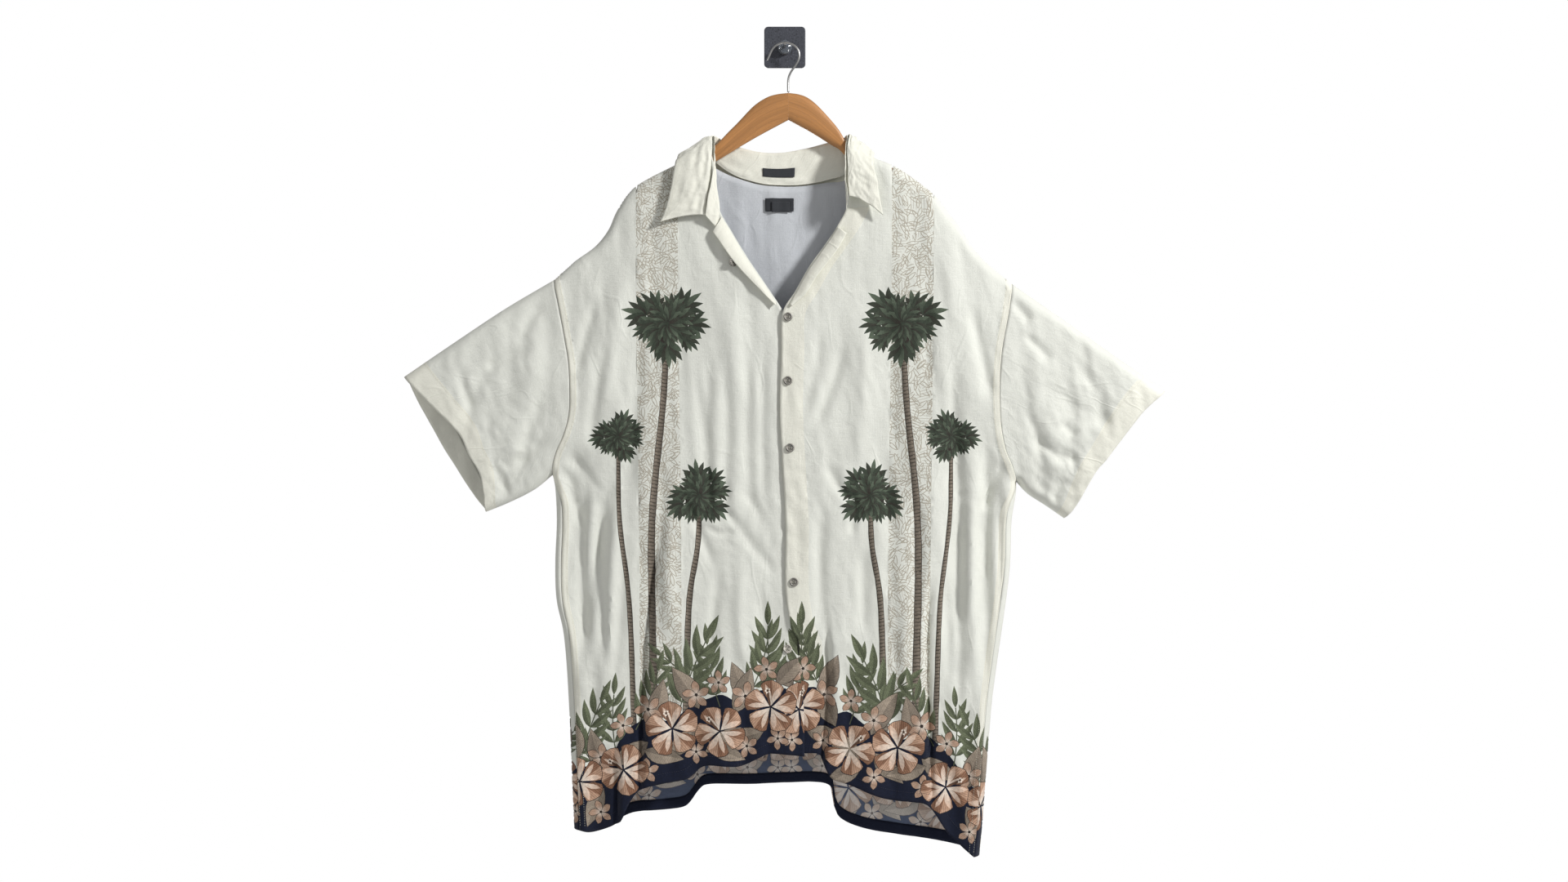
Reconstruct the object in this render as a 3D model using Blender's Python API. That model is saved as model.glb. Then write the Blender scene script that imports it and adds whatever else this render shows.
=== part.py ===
"""A short-sleeved printed shirt, open at the neck, on a wooden hanger and a small wall hook.

X runs to the viewer's right, Y towards the wall and Z up. The origin is the centre of the wall
pad's back face. Sizes and tables are in millimetres and are turned into metres as meshes are made.
The shirt hangs as two sheets, front and back, that meet in rounded folds along the shoulders, the
sleeves and the sides. Every panel is cut from those two sheets, so neighbours share one surface.
"""
import math
from collections import namedtuple

import bmesh
import bpy
import numpy as np

MM = 0.001

# Driving sizes
CLOTH = 1.5             # thickness of a panel's wall
FACING = 1.0            # thickness of a turned-in strip
LABEL = 0.8             # thickness of a woven label
GAP = 0.3               # clearance between pieces at seams and in layers
SHOULDER_SEAM = 8.0     # how far behind the shoulder ridge the front panel ends
SIDE_WRAP = 10.0        # how far the back panel comes round onto the front
ARM_SHARE = 0.35        # share of a panel's rows that lies along the armhole
FOLD = 14.0             # half width of the rounded folds at the silhouette
SWELL = 160.0           # distance over which a sheet reaches its full depth
FOLD_SHARE = 0.6        # share of the depth that the rounded fold takes
PLACKET = 33.0          # width of the facing behind the buttonhole edge
BODY_DROP = 790.0       # from the shoulder points down to the hem
FRONT_WIDTH = 330.0     # a front, from its free edge to its outer seam
HEM_TURN = 16.0         # height of the strip inside the back hem
CUFF_TURN = 28.0        # width of the strip inside each cuff
SLEEVE_LENGTH = 200.0   # from the armhole to the cuff
LAYER = 2.0             # how far each front moves off the shared surface where they overlap
SWAP_HEIGHT = -868.0    # below the last fastened button the fronts change order
BUTTON_RADIUS = 6.35
BUTTON_THICK = 2.6
HANGER_Y = -25.5
WIRE_RADIUS = 1.5
PAD_SIZE = 60.0
PAD_THICK = 3.0
PAD_CORNER = 6.0
BOSS_RADIUS = 10.0
BOSS_DEPTH = 9.0
PEG_RADIUS = 2.0
PEG_END = -36.0
PEG_Z = -1.3

RIGHT, LEFT = "right", "left"       # the wearer's right is at -X
FRONT, BACK = "front", "back"
INWARD = {RIGHT: 1.0, LEFT: -1.0}   # the direction of X from a side to the middle

# Silhouette lines: x, z
SHOULDER = {
    RIGHT: [(-109, -150), (-145, -168), (-202, -197), (-225, -215), (-243, -243), (-254, -268),
            (-273, -292), (-303, -314), (-332, -340)],
    LEFT: [(98, -150), (131, -165), (158, -176), (190, -197), (218, -220), (235, -243), (253, -267),
           (268, -290), (288, -313), (327, -346)],
}
SLEEVE_TOP = {
    RIGHT: [(-332, -340), (-402, -382), (-476, -432), (-546, -480)],
    LEFT: [(327, -346), (399, -397), (469, -447), (545, -501)],
}
SLEEVE_FOOT = {
    RIGHT: [(-334, -621), (-360, -642), (-395, -660), (-429, -674)],
    LEFT: [(333, -631), (349, -648), (375, -665), (401, -683)],
}
SIDE = {
    RIGHT: [(-334, -621), (-330, -642), (-328, -689), (-330, -748), (-328, -800), (-317, -854),
            (-310, -947), (-305, -1064), (-302, -1126)],
    LEFT: [(333, -631), (332, -650), (326, -689), (324, -748), (317, -807), (300, -924),
           (293, -995), (284, -1112), (279, -1164)],
}

# Seam lines on the sheets: x, z
ARMHOLE = {
    (RIGHT, FRONT): [(-332, -340), (-326, -367), (-317, -413), (-309, -461), (-307, -510),
                     (-309, -537), (-316, -563), (-329, -593), (-334, -621)],
    (LEFT, FRONT): [(327, -346), (320, -391), (311, -438), (307, -483), (307, -523), (310, -558),
                    (316, -586), (324, -605), (333, -631)],
    (RIGHT, BACK): [(-332, -340), (-318, -388), (-310, -448), (-309, -508), (-316, -568),
                    (-334, -621)],
    (LEFT, BACK): [(327, -346), (315, -396), (308, -452), (307, -512), (314, -576), (333, -631)],
}
FRONT_EDGE = {
    RIGHT: [(-109, -150), (-100, -180), (-97, -210), (-94, -240), (-77, -271), (-54, -309),
            (-25, -352), (-4, -384), (17, -424), (26, -470), (28, -580), (31, -758), (27, -817),
            (18.6, -856), (18.6, -876), (23, -912), (27, -954), (28, -1020)],
    LEFT: [(98, -150), (93, -191), (89, -235), (76, -263), (57, -292), (34, -324), (15, -358),
           (-4, -391), (-5, -444), (-7, -525), (-4, -595), (1, -688), (1, -781), (9, -833),
           (19.4, -856), (19.4, -876), (11, -909), (8, -956), (10, -1016)],
}
HEM = {
    (RIGHT, FRONT): [(28, -1020), (-20, -1016), (-43, -1024), (-68, -1034), (-117, -1033),
                     (-142, -1051), (-179, -1058), (-212, -1067), (-229, -1087), (-240, -1110),
                     (-251, -1118), (-281, -1129), (-302, -1126)],
    (LEFT, FRONT): [(10, -1016), (34, -1016), (51, -1018), (58, -1034), (70, -1052), (95, -1060),
                    (146, -1079), (185, -1084), (208, -1088), (222, -1103), (240, -1129),
                    (260, -1148), (279, -1164)],
    BACK: [(-302, -1126), (-284, -1135), (-255, -1128), (-238, -1117), (-210, -1107), (-150, -1102),
           (-134, -1090), (-124, -1076), (-110, -1068), (-50, -1068), (0, -1066), (62, -1068),
           (71, -1100), (83, -1119), (123, -1134), (199, -1145), (250, -1155), (279, -1164)],
}
BACK_NECK = [(-109, -150), (-103, -162), (-72, -177), (-37, -187.4), (-7, -190.2), (28, -189.4),
             (64, -184), (80, -183), (92, -177), (98, -150)]
CUFF_EDGE = {
    (RIGHT, FRONT): [(-429, -674), (-430, -648), (-434, -624), (-440, -610), (-451, -592),
                     (-461, -568), (-475, -550), (-502, -524), (-526, -500), (-546, -480)],
    (RIGHT, BACK): [(-429, -674), (-448, -652), (-477, -608), (-496, -578), (-515, -543),
                    (-531, -514), (-546, -480)],
    (LEFT, FRONT): [(401, -683), (416, -665), (442, -619), (460, -597), (495, -551), (517, -525),
                    (545, -501)],
    (LEFT, BACK): [(401, -683), (412, -660), (436, -616), (454, -592), (488, -548), (512, -523),
                   (545, -501)],
}

# Depth of the sheets (y) by height, and at the cuffs
Depth = namedtuple("Depth", "height side front back")
DEPTHS = [
    Depth(-100, -24, -38, -11),
    Depth(-200, -24, -42, -11),
    Depth(-384, -25, -47, -12),
    Depth(-620, -27, -51, -13),
    Depth(-750, -30, -54, -13),
    Depth(-868, -32, -59, -14),
    Depth(-1010, -34, -65, -14),
    Depth(-1160, -36, -69, -14),
]
CUFF_DEPTH = Depth(0, -34, -56, -13)
SLEEVE_FROM, SLEEVE_TO = 320.0, 520.0

# A crease is a trough (or a ridge, with a negative depth); a lap sets its +X side forward
Fold = namedtuple("Fold", "sheet kind top bend foot depth width")
FOLDS = [
    Fold(FRONT, "lap", (-177, -700), (-190, -830), (-206, -1130), 8.0, 9),
    Fold(FRONT, "lap", (207, -740), (199, -870), (208, -1150), -8.0, 9),
    Fold(FRONT, "lap", (62, -800), (66, -930), (50, -1080), 7.0, 8),
    Fold(FRONT, "lap", (-236, -980), (-234, -1060), (-238, -1180), 7.0, 8),
    Fold(FRONT, "crease", (-299, -560), (-301, -690), (-296, -860), 7.0, 16),
    Fold(FRONT, "crease", (-236, -570), (-272, -740), (-297, -860), 5.0, 14),
    Fold(FRONT, "crease", (241, -570), (242, -700), (240, -890), 6.0, 16),
    Fold(FRONT, "crease", (300, -560), (281, -700), (290, -860), 6.0, 14),
    Fold(FRONT, "crease", (-250, -1000), (-262, -1070), (-272, -1200), 8.0, 16),
    Fold(FRONT, "crease", (225, -1010), (236, -1080), (240, -1200), 8.0, 14),
    Fold(FRONT, "crease", (-210, -260), (-250, -420), (-285, -560), -4.0, 26),
    Fold(FRONT, "crease", (215, -262), (252, -420), (284, -560), -4.0, 26),
    Fold(FRONT, "crease", (-120, -300), (-150, -480), (-140, -700), 3.5, 24),
    Fold(FRONT, "crease", (120, -300), (150, -480), (146, -720), 3.5, 24),
    Fold(FRONT, "crease", (-90, -880), (-84, -960), (-92, -1100), -6.0, 20),
    Fold(FRONT, "crease", (-120, -860), (-126, -960), (-122, -1100), 5.0, 14),
    Fold(FRONT, "crease", (130, -860), (120, -960), (124, -1140), -5.0, 24),
    Fold(FRONT, "crease", (-356, -400), (-372, -500), (-392, -640), -4.0, 22),
    Fold(FRONT, "crease", (352, -410), (372, -510), (380, -650), -4.0, 22),
    Fold(FRONT, "crease", (-360, -470), (-420, -520), (-470, -520), 4.0, 18),
    Fold(FRONT, "crease", (360, -480), (420, -530), (470, -540), 4.0, 18),
    Fold(BACK, "lap", (70, -820), (68, -950), (68, -1130), 5.0, 8),
    Fold(BACK, "lap", (-128, -860), (-124, -970), (-128, -1130), -5.0, 8),
    Fold(BACK, "crease", (-210, -300), (-235, -560), (-240, -900), 5.0, 30),
    Fold(BACK, "crease", (205, -300), (228, -560), (222, -900), 5.0, 30),
    Fold(BACK, "crease", (-20, -420), (-30, -700), (-24, -1100), 4.0, 36),
    Fold(BACK, "crease", (-185, -800), (-190, -950), (-196, -1180), 5.0, 22),
    Fold(BACK, "crease", (170, -800), (180, -950), (176, -1200), 5.0, 22),
]
FOLD_CLEAR = 34.0       # folds die out over this distance from the silhouette

# The collar, from the wearer's right point round the neck to the left one
Collar = namedtuple("Collar", "neck roll edge")
COLLAR = [
    Collar((-97, -46, -269), (-114, -52, -250), (-178, -54, -260)),
    Collar((-93, -45, -241), (-112, -52, -229), (-171, -53, -243)),
    Collar((-97, -43, -210), (-108, -51, -205), (-164, -52, -217)),
    Collar((-100, -41, -180), (-105, -48, -175), (-158, -47, -181)),
    Collar((-106, -37, -156), (-104, -39, -146), (-155, -36, -165)),
    Collar((-108, -27, -147), (-104, -30, -133), (-151, -24, -159)),
    Collar((-105, -17, -153), (-97, -16, -134), (-147, -12, -164)),
    Collar((-101, -14, -168), (-86, -12, -139), (-137, -6, -176)),
    Collar((-72, -13, -188), (-66, -8, -146), (-96, -4, -210)),
    Collar((-37, -13, -199), (-37, -7, -153), (-55, -3.5, -223)),
    Collar((-7, -13, -202), (-5, -7, -154), (-7, -3.5, -228)),
    Collar((28, -13, -201), (30, -7, -148), (40, -3.5, -223)),
    Collar((64, -13, -194), (54, -8, -142), (82, -4, -210)),
    Collar((89, -14, -184), (76, -10, -136), (117, -6, -176)),
    Collar((95, -15, -155), (87, -12, -133), (126, -9, -163)),
    Collar((98, -27, -147), (93, -30, -131), (129, -24, -157)),
    Collar((97, -37, -155), (91, -39, -142), (128, -35, -164)),
    Collar((94, -41, -180), (89, -46, -158), (128, -47, -181)),
    Collar((92, -43, -204), (90, -50, -181), (132, -52, -200)),
    Collar((90, -45, -222), (90, -52, -202), (135, -53, -223)),
    Collar((88, -46, -243), (92, -53, -223), (140, -54, -250)),
]
ROLL_IN = 2.6           # the stand ends this far inside the roll ...
ROLL_DROP = 1.0         # ... and this far under it
LAPEL_BITE = 2.5        # how far a lapel's root lies over the front's edge
FALL_LIFT = 8.0         # how far the fall bows up before it turns down

# The front facings turned out along the open neck, from the bottom of the opening up
Lapel = namedtuple("Lapel", "fold_x fold_z free")
LAPEL = {
    RIGHT: [Lapel(-10, -375, (-13, -51, -379)), Lapel(-25, -352, (-36, -53, -356)),
            Lapel(-54, -309, (-70, -54, -320)), Lapel(-77, -271, (-96, -53, -284)),
            Lapel(-88, -252, (-103, -50, -274))],
    LEFT: [Lapel(5, -376, (9, -51, -380)), Lapel(15, -358, (29, -53, -363)),
           Lapel(34, -324, (45, -53, -338)), Lapel(57, -292, (75, -52, -299)),
           Lapel(74, -266, (88, -50, -276))],
}

# Buttons: x, z and the front that each lies on
Button = namedtuple("Button", "name x z front")
BUTTONS = [
    Button("button_1", 4.5, -395, LEFT),
    Button("button_2", 4.5, -486, LEFT),
    Button("button_3", 7.5, -582, LEFT),
    Button("button_5", 13, -773, LEFT),
    Button("button_6", 4, -868, RIGHT),
]
COLLAR_BUTTON = (-73.2, -52.1, -317)
COLLAR_BUTTON_TURN = (math.radians(-90), 0, math.radians(29.4))

# Hanger arms: x, top, bottom and half thickness, from the mitre outwards
Arm = namedtuple("Arm", "x top bottom half")
HANGER = {
    RIGHT: [Arm(4.8, -71, -110, 6.5), Arm(-12, -73, -119, 6.5), Arm(-27, -78, -127, 6.5),
            Arm(-45, -90, -137, 6.3), Arm(-67, -113, -150, 6.0), Arm(-80, -126, -158, 6.0),
            Arm(-109, -154, -175, 5.6), Arm(-145, -171, -191, 5.6), Arm(-180, -189, -206, 5.4),
            Arm(-202, -202, -219, 5.0), Arm(-213, -211, -224, 4.0), Arm(-218, -216, -223, 2.0)],
    LEFT: [Arm(5.2, -71, -110, 6.5), Arm(20, -73, -118, 6.5), Arm(33, -78, -125, 6.5),
           Arm(48, -90, -134, 6.3), Arm(69, -113, -147, 6.0), Arm(79, -126, -153, 6.0),
           Arm(98, -154, -171, 5.6), Arm(131, -168, -188, 5.6), Arm(165, -184, -202, 5.4),
           Arm(190, -202, -219, 5.0), Arm(206, -216, -230, 4.0), Arm(211, -221, -229, 2.0)],
}
WIRE = [(5, -70.6), (4.6, -58), (5.2, -46), (12.6, -35), (20, -25), (22, -14), (18, -5), (9, 1),
        (0, 2.5), (-9, 0.5), (-17, -5), (-21, -14), (-25, -24)]

Finish = namedtuple("Finish", "colour roughness metallic")
CLOTH_FINISH = Finish((0.78, 0.77, 0.70), 0.85, 0.0)
FACING_FINISH = Finish((0.84, 0.81, 0.70), 0.85, 0.0)
NAVY_FINISH = Finish((0.05, 0.07, 0.13), 0.85, 0.0)
BUTTON_FINISH = Finish((0.42, 0.41, 0.40), 0.3, 0.0)
LABEL_FINISH = Finish((0.06, 0.06, 0.07), 0.8, 0.0)
WOOD_FINISH = Finish((0.58, 0.38, 0.20), 0.45, 0.0)
STEEL_FINISH = Finish((0.60, 0.60, 0.60), 0.25, 1.0)
PAD_FINISH = Finish((0.16, 0.16, 0.16), 0.6, 0.0)
CLEAR_FINISH = Finish((0.75, 0.78, 0.80), 0.1, 0.0)


# Curves ---------------------------------------------------------------------------------------
def smooth(rows, steps=8):
    """A Catmull-Rom line through the rows of a table."""
    rows = np.array(rows, float)
    ends = np.vstack([2 * rows[0] - rows[1], rows, 2 * rows[-1] - rows[-2]])
    line = []
    for a, b, c, d in zip(ends, ends[1:], ends[2:], ends[3:]):
        for t in np.arange(steps) / steps:
            line.append(0.5 * (2 * b + (c - a) * t + (2 * a - 5 * b + 4 * c - d) * t * t
                               + (3 * b - a - 3 * c + d) * t ** 3))
    return np.array(line + [rows[-1]])


def at_share(rows, share):
    """Points at shares of a smooth line's length."""
    line = smooth(rows)
    run = np.concatenate([[0], np.cumsum(np.linalg.norm(np.diff(line, axis=0), axis=1))])
    return np.stack([np.interp(np.asarray(share) * run[-1], run, line[:, k])
                     for k in range(line.shape[1])], -1)


def at_station(rows, station):
    """Points at fractional row numbers of a smooth line."""
    line = smooth(rows)
    place = np.linspace(0, len(rows) - 1, len(line))
    return np.stack([np.interp(station, place, line[:, k]) for k in range(line.shape[1])], -1)


def x_at_height(rows, height):
    line = smooth(rows)
    return np.interp(-height, -line[:, 1], line[:, 0])


def height_at_x(rows, x):
    line = smooth(rows)
    order = np.argsort(line[:, 0])
    return np.interp(x, line[order, 0], line[order, 1])


def extended(line, start, end):
    """A line made longer at its ends, along its own direction."""
    first = line[0] + (line[0] - line[1]) / np.linalg.norm(line[0] - line[1]) * start
    last = line[-1] + (line[-1] - line[-2]) / np.linalg.norm(line[-1] - line[-2]) * end
    return np.vstack([first, line, last])


def nearest(points, line):
    """Distance to a polyline, the share along it and the side (+1 towards +X)."""
    a, b = line[:-1], line[1:]
    run = b - a
    to = points[..., None, :] - a
    t = np.clip((to * run).sum(-1) / (run * run).sum(-1), 0, 1)
    off = to - t[..., None] * run
    gap = np.linalg.norm(off, axis=-1)
    best = gap.argmin(-1)[..., None]
    pick = lambda values: np.take_along_axis(values, best, -1)[..., 0]
    return pick(gap), (best[..., 0] + pick(t)) / len(a), np.sign(pick(off[..., 0]))


def ease(value, low, high):
    t = np.clip((np.asarray(value, float) - low) / (high - low), 0, 1)
    return t * t * (3 - 2 * t)


def rounding(distance, reach):
    t = np.clip(distance / reach, 0, 1)
    return np.sqrt(1 - (1 - t) ** 2)


# The two sheets -------------------------------------------------------------------------------
TOP_LINE = extended(np.vstack([
    smooth(SLEEVE_TOP[RIGHT])[::-1], smooth(SHOULDER[RIGHT])[::-1][1:], [(-4, -90)],
    smooth(SHOULDER[LEFT]), smooth(SLEEVE_TOP[LEFT])[1:]]), 60, 60)
LOW_LINE = {side: extended(np.vstack([smooth(SLEEVE_FOOT[side])[::-1], smooth(SIDE[side])[1:]]), 60, 90)
            for side in (RIGHT, LEFT)}
FOLD_LINES = [smooth([fold.top, fold.bend, fold.foot]) for fold in FOLDS]


def swell(distance):
    return FOLD_SHARE * rounding(distance, FOLD) + (1 - FOLD_SHARE) * rounding(distance, SWELL)


def fold_relief(plane, sheet):
    """How far the folds move a sheet outwards."""
    out = np.zeros(plane.shape[:-1])
    for fold, line in zip(FOLDS, FOLD_LINES):
        if fold.sheet != sheet:
            continue
        gap, share, side = nearest(plane, line)
        fade = ease(share, 0, 0.3) * ease(1 - share, 0, 0.2)
        if fold.kind == "crease":
            out -= fold.depth * np.exp(-(gap / fold.width) ** 2) * fade
        else:
            step = np.tanh(side * gap / (0.4 * fold.width)) * np.exp(-(gap / (4 * fold.width)) ** 2)
            out += 0.5 * fold.depth * step * fade
    return out


def depth(x, z, sheet):
    """The outer surface's y on the front or back sheet."""
    plane = np.stack([x, z], -1)
    rows = np.array(DEPTHS)[::-1]
    at = lambda column: np.interp(z, rows[:, 0], rows[:, Depth._fields.index(column)])
    sleeve = ease(np.abs(x), SLEEVE_FROM, SLEEVE_TO)
    side = at("side") * (1 - sleeve) + CUFF_DEPTH.side * sleeve
    full = at(sheet) * (1 - sleeve) + getattr(CUFF_DEPTH, sheet) * sleeve
    gaps = [nearest(plane, line)[0] for line in (TOP_LINE, LOW_LINE[RIGHT], LOW_LINE[LEFT])]
    share = swell(gaps[0]) * swell(gaps[1]) * swell(gaps[2])
    clear = ease(np.minimum.reduce(gaps), 2, FOLD_CLEAR)
    outward = -1 if sheet == FRONT else 1
    return side + (full - side) * share + outward * clear * fold_relief(plane, sheet)


def layer_shift(x, z, side):
    """Moves the two fronts apart where one lies on the other; they change order low down."""
    edge = x_at_height(FRONT_EDGE[side], z)
    near = 1 - ease(np.abs(x - edge), 42, 90)
    order = np.tanh((z - SWAP_HEIGHT) / 9.0) * ease(-z, 340, 384)
    return (1 if side == RIGHT else -1) * LAYER * near * order


def side_seam(side, z):
    """The side seam's distance in front of the side fold; none at the underarm."""
    underarm = -SIDE[side][0][1]
    return SIDE_WRAP * ease(-z, underarm, underarm + 45)


# Panels ---------------------------------------------------------------------------------------
SEAM_ROW = SHOULDER_SEAM / 276     # the shoulder seam, as a share of the armhole's height
ARM_ROWS = np.array([0, 0.006, 0.017, SEAM_ROW, 0.07, 0.14, 0.24, 0.35, 0.47, 0.59, 0.71, 0.82, 0.91,
                     0.965, 1])
SEAM_OFF = 0.0006       # how far each panel stays off the shoulder seam, in the same shares
SIDE_ROWS = np.array([0.4, 0.46, 0.53, 0.6, 0.67, 0.73, 0.78])
SWAP_ROWS = np.array([0.808, 0.822, 0.829, 0.836, 0.852])
HEM_ROWS = np.array([0.885, 0.925, 0.963, 1])
FRONT_ROWS = np.concatenate([ARM_SHARE * np.array([SEAM_OFF - SEAM_ROW, -0.017, -0.006]),
                             ARM_SHARE * ARM_ROWS, SIDE_ROWS, SWAP_ROWS, HEM_ROWS])
BACK_ROWS = np.concatenate([ARM_SHARE * np.array([SEAM_ROW + SEAM_OFF]), ARM_SHARE * ARM_ROWS[4:],
                            SIDE_ROWS, [0.855, 0.9, 0.94, 1 - HEM_TURN / BODY_DROP, 1]])
LAP_COLUMNS = {RIGHT: (0.6, 0.79), LEFT: (0.165, 0.715)}
PLACKET_COLUMNS = tuple(share * PLACKET / FRONT_WIDTH for share in (0, 0.5, 1))
EVEN_COLUMNS = np.linspace(0.183, 1, 10)
EDGE_COLUMNS = (0, 6, 10, 14, 24)
STEP = 0.0008           # share of a panel over which a normal is measured


def columns(side):
    """Shares across a front panel, closer together beside its laps."""
    laps = [c + k for c in LAP_COLUMNS[side] for k in (-0.03, -0.01, 0.01, 0.03)]
    even = [s for s in EVEN_COLUMNS if all(abs(s - c) > 0.04 for c in LAP_COLUMNS[side])]
    return np.array(sorted([*PLACKET_COLUMNS, *even, *laps]))


def side_height(side, down):
    """The height of a panel's row at its outer edge: along the armhole, then along the side."""
    shoulder, underarm, hem = SHOULDER[side][-1][1], SIDE[side][0][1], SIDE[side][-1][1]
    return np.interp(down, [0, ARM_SHARE, 1], [shoulder, underarm, hem])


def clearance(side, z):
    """How far a panel stays off its seam; a little more where four pieces meet at the underarm."""
    return 0.7 * GAP + 0.6 * np.exp(-((z - SIDE[side][0][1]) / 8.0) ** 2)


def front_points(side, across, down):
    """A front panel: across from its free edge, down from the shoulder ridge."""
    across, down = np.broadcast_arrays(across, down)
    behind, down = down < 0, np.abs(down)
    inner, outer = FRONT_EDGE[side], ARMHOLE[side, FRONT]
    inner_z = inner[0][1] + (inner[-1][1] - inner[0][1]) * down
    outer_z = side_height(side, down)
    arm_x = np.where(behind, x_at_height(ARMHOLE[side, BACK], outer_z), x_at_height(outer, outer_z))
    outer_x = np.where(outer_z > outer[-1][1], arm_x,
                       x_at_height(SIDE[side], outer_z) + INWARD[side] * side_seam(side, outer_z))
    outer_x = outer_x + INWARD[side] * clearance(side, outer_z)
    inner_x = x_at_height(inner, inner_z)
    x = inner_x + (outer_x - inner_x) * across
    top_x = inner[0][0] + (outer[0][0] - inner[0][0]) * across
    top = height_at_x(SHOULDER[side], top_x) - (inner[0][1] + (outer[0][1] - inner[0][1]) * across)
    rows = HEM[side, FRONT]
    hem = height_at_x(rows, rows[0][0] + (rows[-1][0] - rows[0][0]) * across)
    hem = hem - (rows[0][1] + (rows[-1][1] - rows[0][1]) * across)
    z = inner_z + (outer_z - inner_z) * across
    z = z + top * np.clip(1 - down / 0.3, 0, 1) + hem * ease(down, 0.72, 1)
    y = np.where(behind, depth(x, z, BACK), depth(x, z, FRONT)) + layer_shift(x, z, side)
    return np.stack([x, y, z], -1)


def back_top(x):
    """The ridge over the back panel: the shoulders, and between them the neckline."""
    seam = np.where(x < 0, height_at_x(SHOULDER[RIGHT], x), height_at_x(SHOULDER[LEFT], x))
    inside = (x > BACK_NECK[0][0]) & (x < BACK_NECK[-1][0])
    return np.where(inside, height_at_x(BACK_NECK, x), seam)


def back_columns():
    """Shares across the back between its edge columns, in line with the fronts' columns."""
    ends = [ARMHOLE[side, BACK][0][0] for side in (RIGHT, LEFT)]
    neck = [BACK_NECK[0][0], BACK_NECK[-1][0]]
    x = [-84, -58, -30, 0, 30, 63, 73, 89]
    for start, end, side in zip(neck, ends, (RIGHT, LEFT)):
        x += [start + (end - start) * share for share in columns(side) if share not in PLACKET_COLUMNS[1:]]
    edge = EDGE_COLUMNS[-1]
    shares = (np.array(sorted(x)) - ends[0] - edge) / (ends[1] - ends[0] - 2 * edge)
    return shares[(shares > 0.01) & (shares < 0.99)]


def back_points(down, nudge=0.0):
    """The back panel from side seam to side seam, a row for each share down; nudge moves the columns."""
    ends, wraps, heights = {}, {}, {}
    for side in (RIGHT, LEFT):
        arm, flank = ARMHOLE[side, BACK], SIDE[side]
        z = side_height(side, down)
        above = z >= arm[-1][1] - 1e-6
        wraps[side] = np.where(above, 0, np.maximum(side_seam(side, z) - clearance(side, z), 0))
        ends[side] = np.where(above, x_at_height(arm, z), x_at_height(flank, z))
        ends[side] = ends[side] + INWARD[side] * np.where(wraps[side] > 0, 0, clearance(side, z))
        heights[side] = z
    width = (ends[LEFT] - ends[RIGHT] + wraps[RIGHT] + wraps[LEFT])[:, None]
    edge = np.array(EDGE_COLUMNS)
    middle = edge[-1] + (width - 2 * edge[-1]) * back_columns()
    run = np.concatenate([np.broadcast_to(edge, (len(down), len(edge))), middle, width - edge[::-1]], 1)
    run = run + nudge
    from_right = run - wraps[RIGHT][:, None]
    from_left = width - run - wraps[LEFT][:, None]
    turned_right = (from_right < 0) & (wraps[RIGHT][:, None] > 0)
    turned_left = (from_left < 0) & (wraps[LEFT][:, None] > 0)
    x = ends[RIGHT][:, None] + np.where(turned_right, -from_right, from_right)
    x = np.where(turned_left, ends[LEFT][:, None] + from_left, x)
    level = (x - ends[RIGHT][:, None]) / (ends[LEFT] - ends[RIGHT])[:, None]
    z = heights[RIGHT][:, None] * (1 - level) + heights[LEFT][:, None] * level
    top_x = ARMHOLE[RIGHT, BACK][0][0] * (1 - level) + ARMHOLE[LEFT, BACK][0][0] * level
    top = back_top(top_x) - side_height(RIGHT, 0) * (1 - level) - side_height(LEFT, 0) * level
    hem_x = HEM[BACK][0][0] * (1 - level) + HEM[BACK][-1][0] * level
    hem = height_at_x(HEM[BACK], hem_x) - HEM[BACK][0][1] * (1 - level) - HEM[BACK][-1][1] * level
    z = z + top * np.clip(1 - down / 0.3, 0, 1)[:, None] + hem * ease(down, 0.72, 1)[:, None]
    y = np.where(turned_right | turned_left, depth(x, z, FRONT), depth(x, z, BACK))
    return np.stack([x, y, z], -1)


CUFF_ROWS = 1 - CUFF_TURN / SLEEVE_LENGTH * np.array([1, 0.5, 0])
SLEEVE_ROWS = np.concatenate([[0.0025, 0.07, 0.18, 0.32, 0.46, 0.6, 0.74], CUFF_ROWS])


def sleeve_half(side, sheet, along, up):
    """One sheet of a sleeve: along from the armhole, and up from the underarm fold."""
    arm = ARMHOLE[side, sheet]
    heights = arm[0][1] + (arm[-1][1] - arm[0][1]) * (1 - up)
    root = np.stack([x_at_height(arm, heights), heights], -1)
    end = at_share(CUFF_EDGE[side, sheet], up)
    foot, top = at_share(SLEEVE_FOOT[side], along), at_share(SLEEVE_TOP[side], along)
    t, up = along[:, None, None], np.clip(up, 0, 1)[None, :, None]
    plane = root * (1 - t) + end * t
    plane = plane + (1 - up) * (foot[:, None] - plane[:, :1]) + up * (top[:, None] - plane[:, -1:])
    x, z = plane[..., 0], plane[..., 1]
    return np.stack([x, depth(x, z, sheet), z], -1)


def sleeve_points(side, along):
    up = 1 - ARM_ROWS[::-1]
    front, back = sleeve_half(side, FRONT, along, up), sleeve_half(side, BACK, along, up)
    return np.concatenate([front, back[:, -2:0:-1]], 1)


def stand_points(station, up):
    """The collar stand's neck-side surface."""
    neck = at_station([row.neck for row in COLLAR], station)
    rolls = [row.roll for row in COLLAR]
    roll = at_station(rolls, station)
    run = at_station(rolls, station + 0.2) - at_station(rolls, station - 0.2)
    inward = np.stack([run[:, 1], -run[:, 0], 0 * run[:, 0]], -1)
    inward /= np.linalg.norm(inward, axis=1)[:, None]
    rise = (roll - neck) / np.linalg.norm(roll - neck, axis=1)[:, None]
    top = roll + inward * ROLL_IN - rise * ROLL_DROP
    up = np.asarray(up)[:, None, None]
    return neck * (1 - up) + top * up


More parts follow.
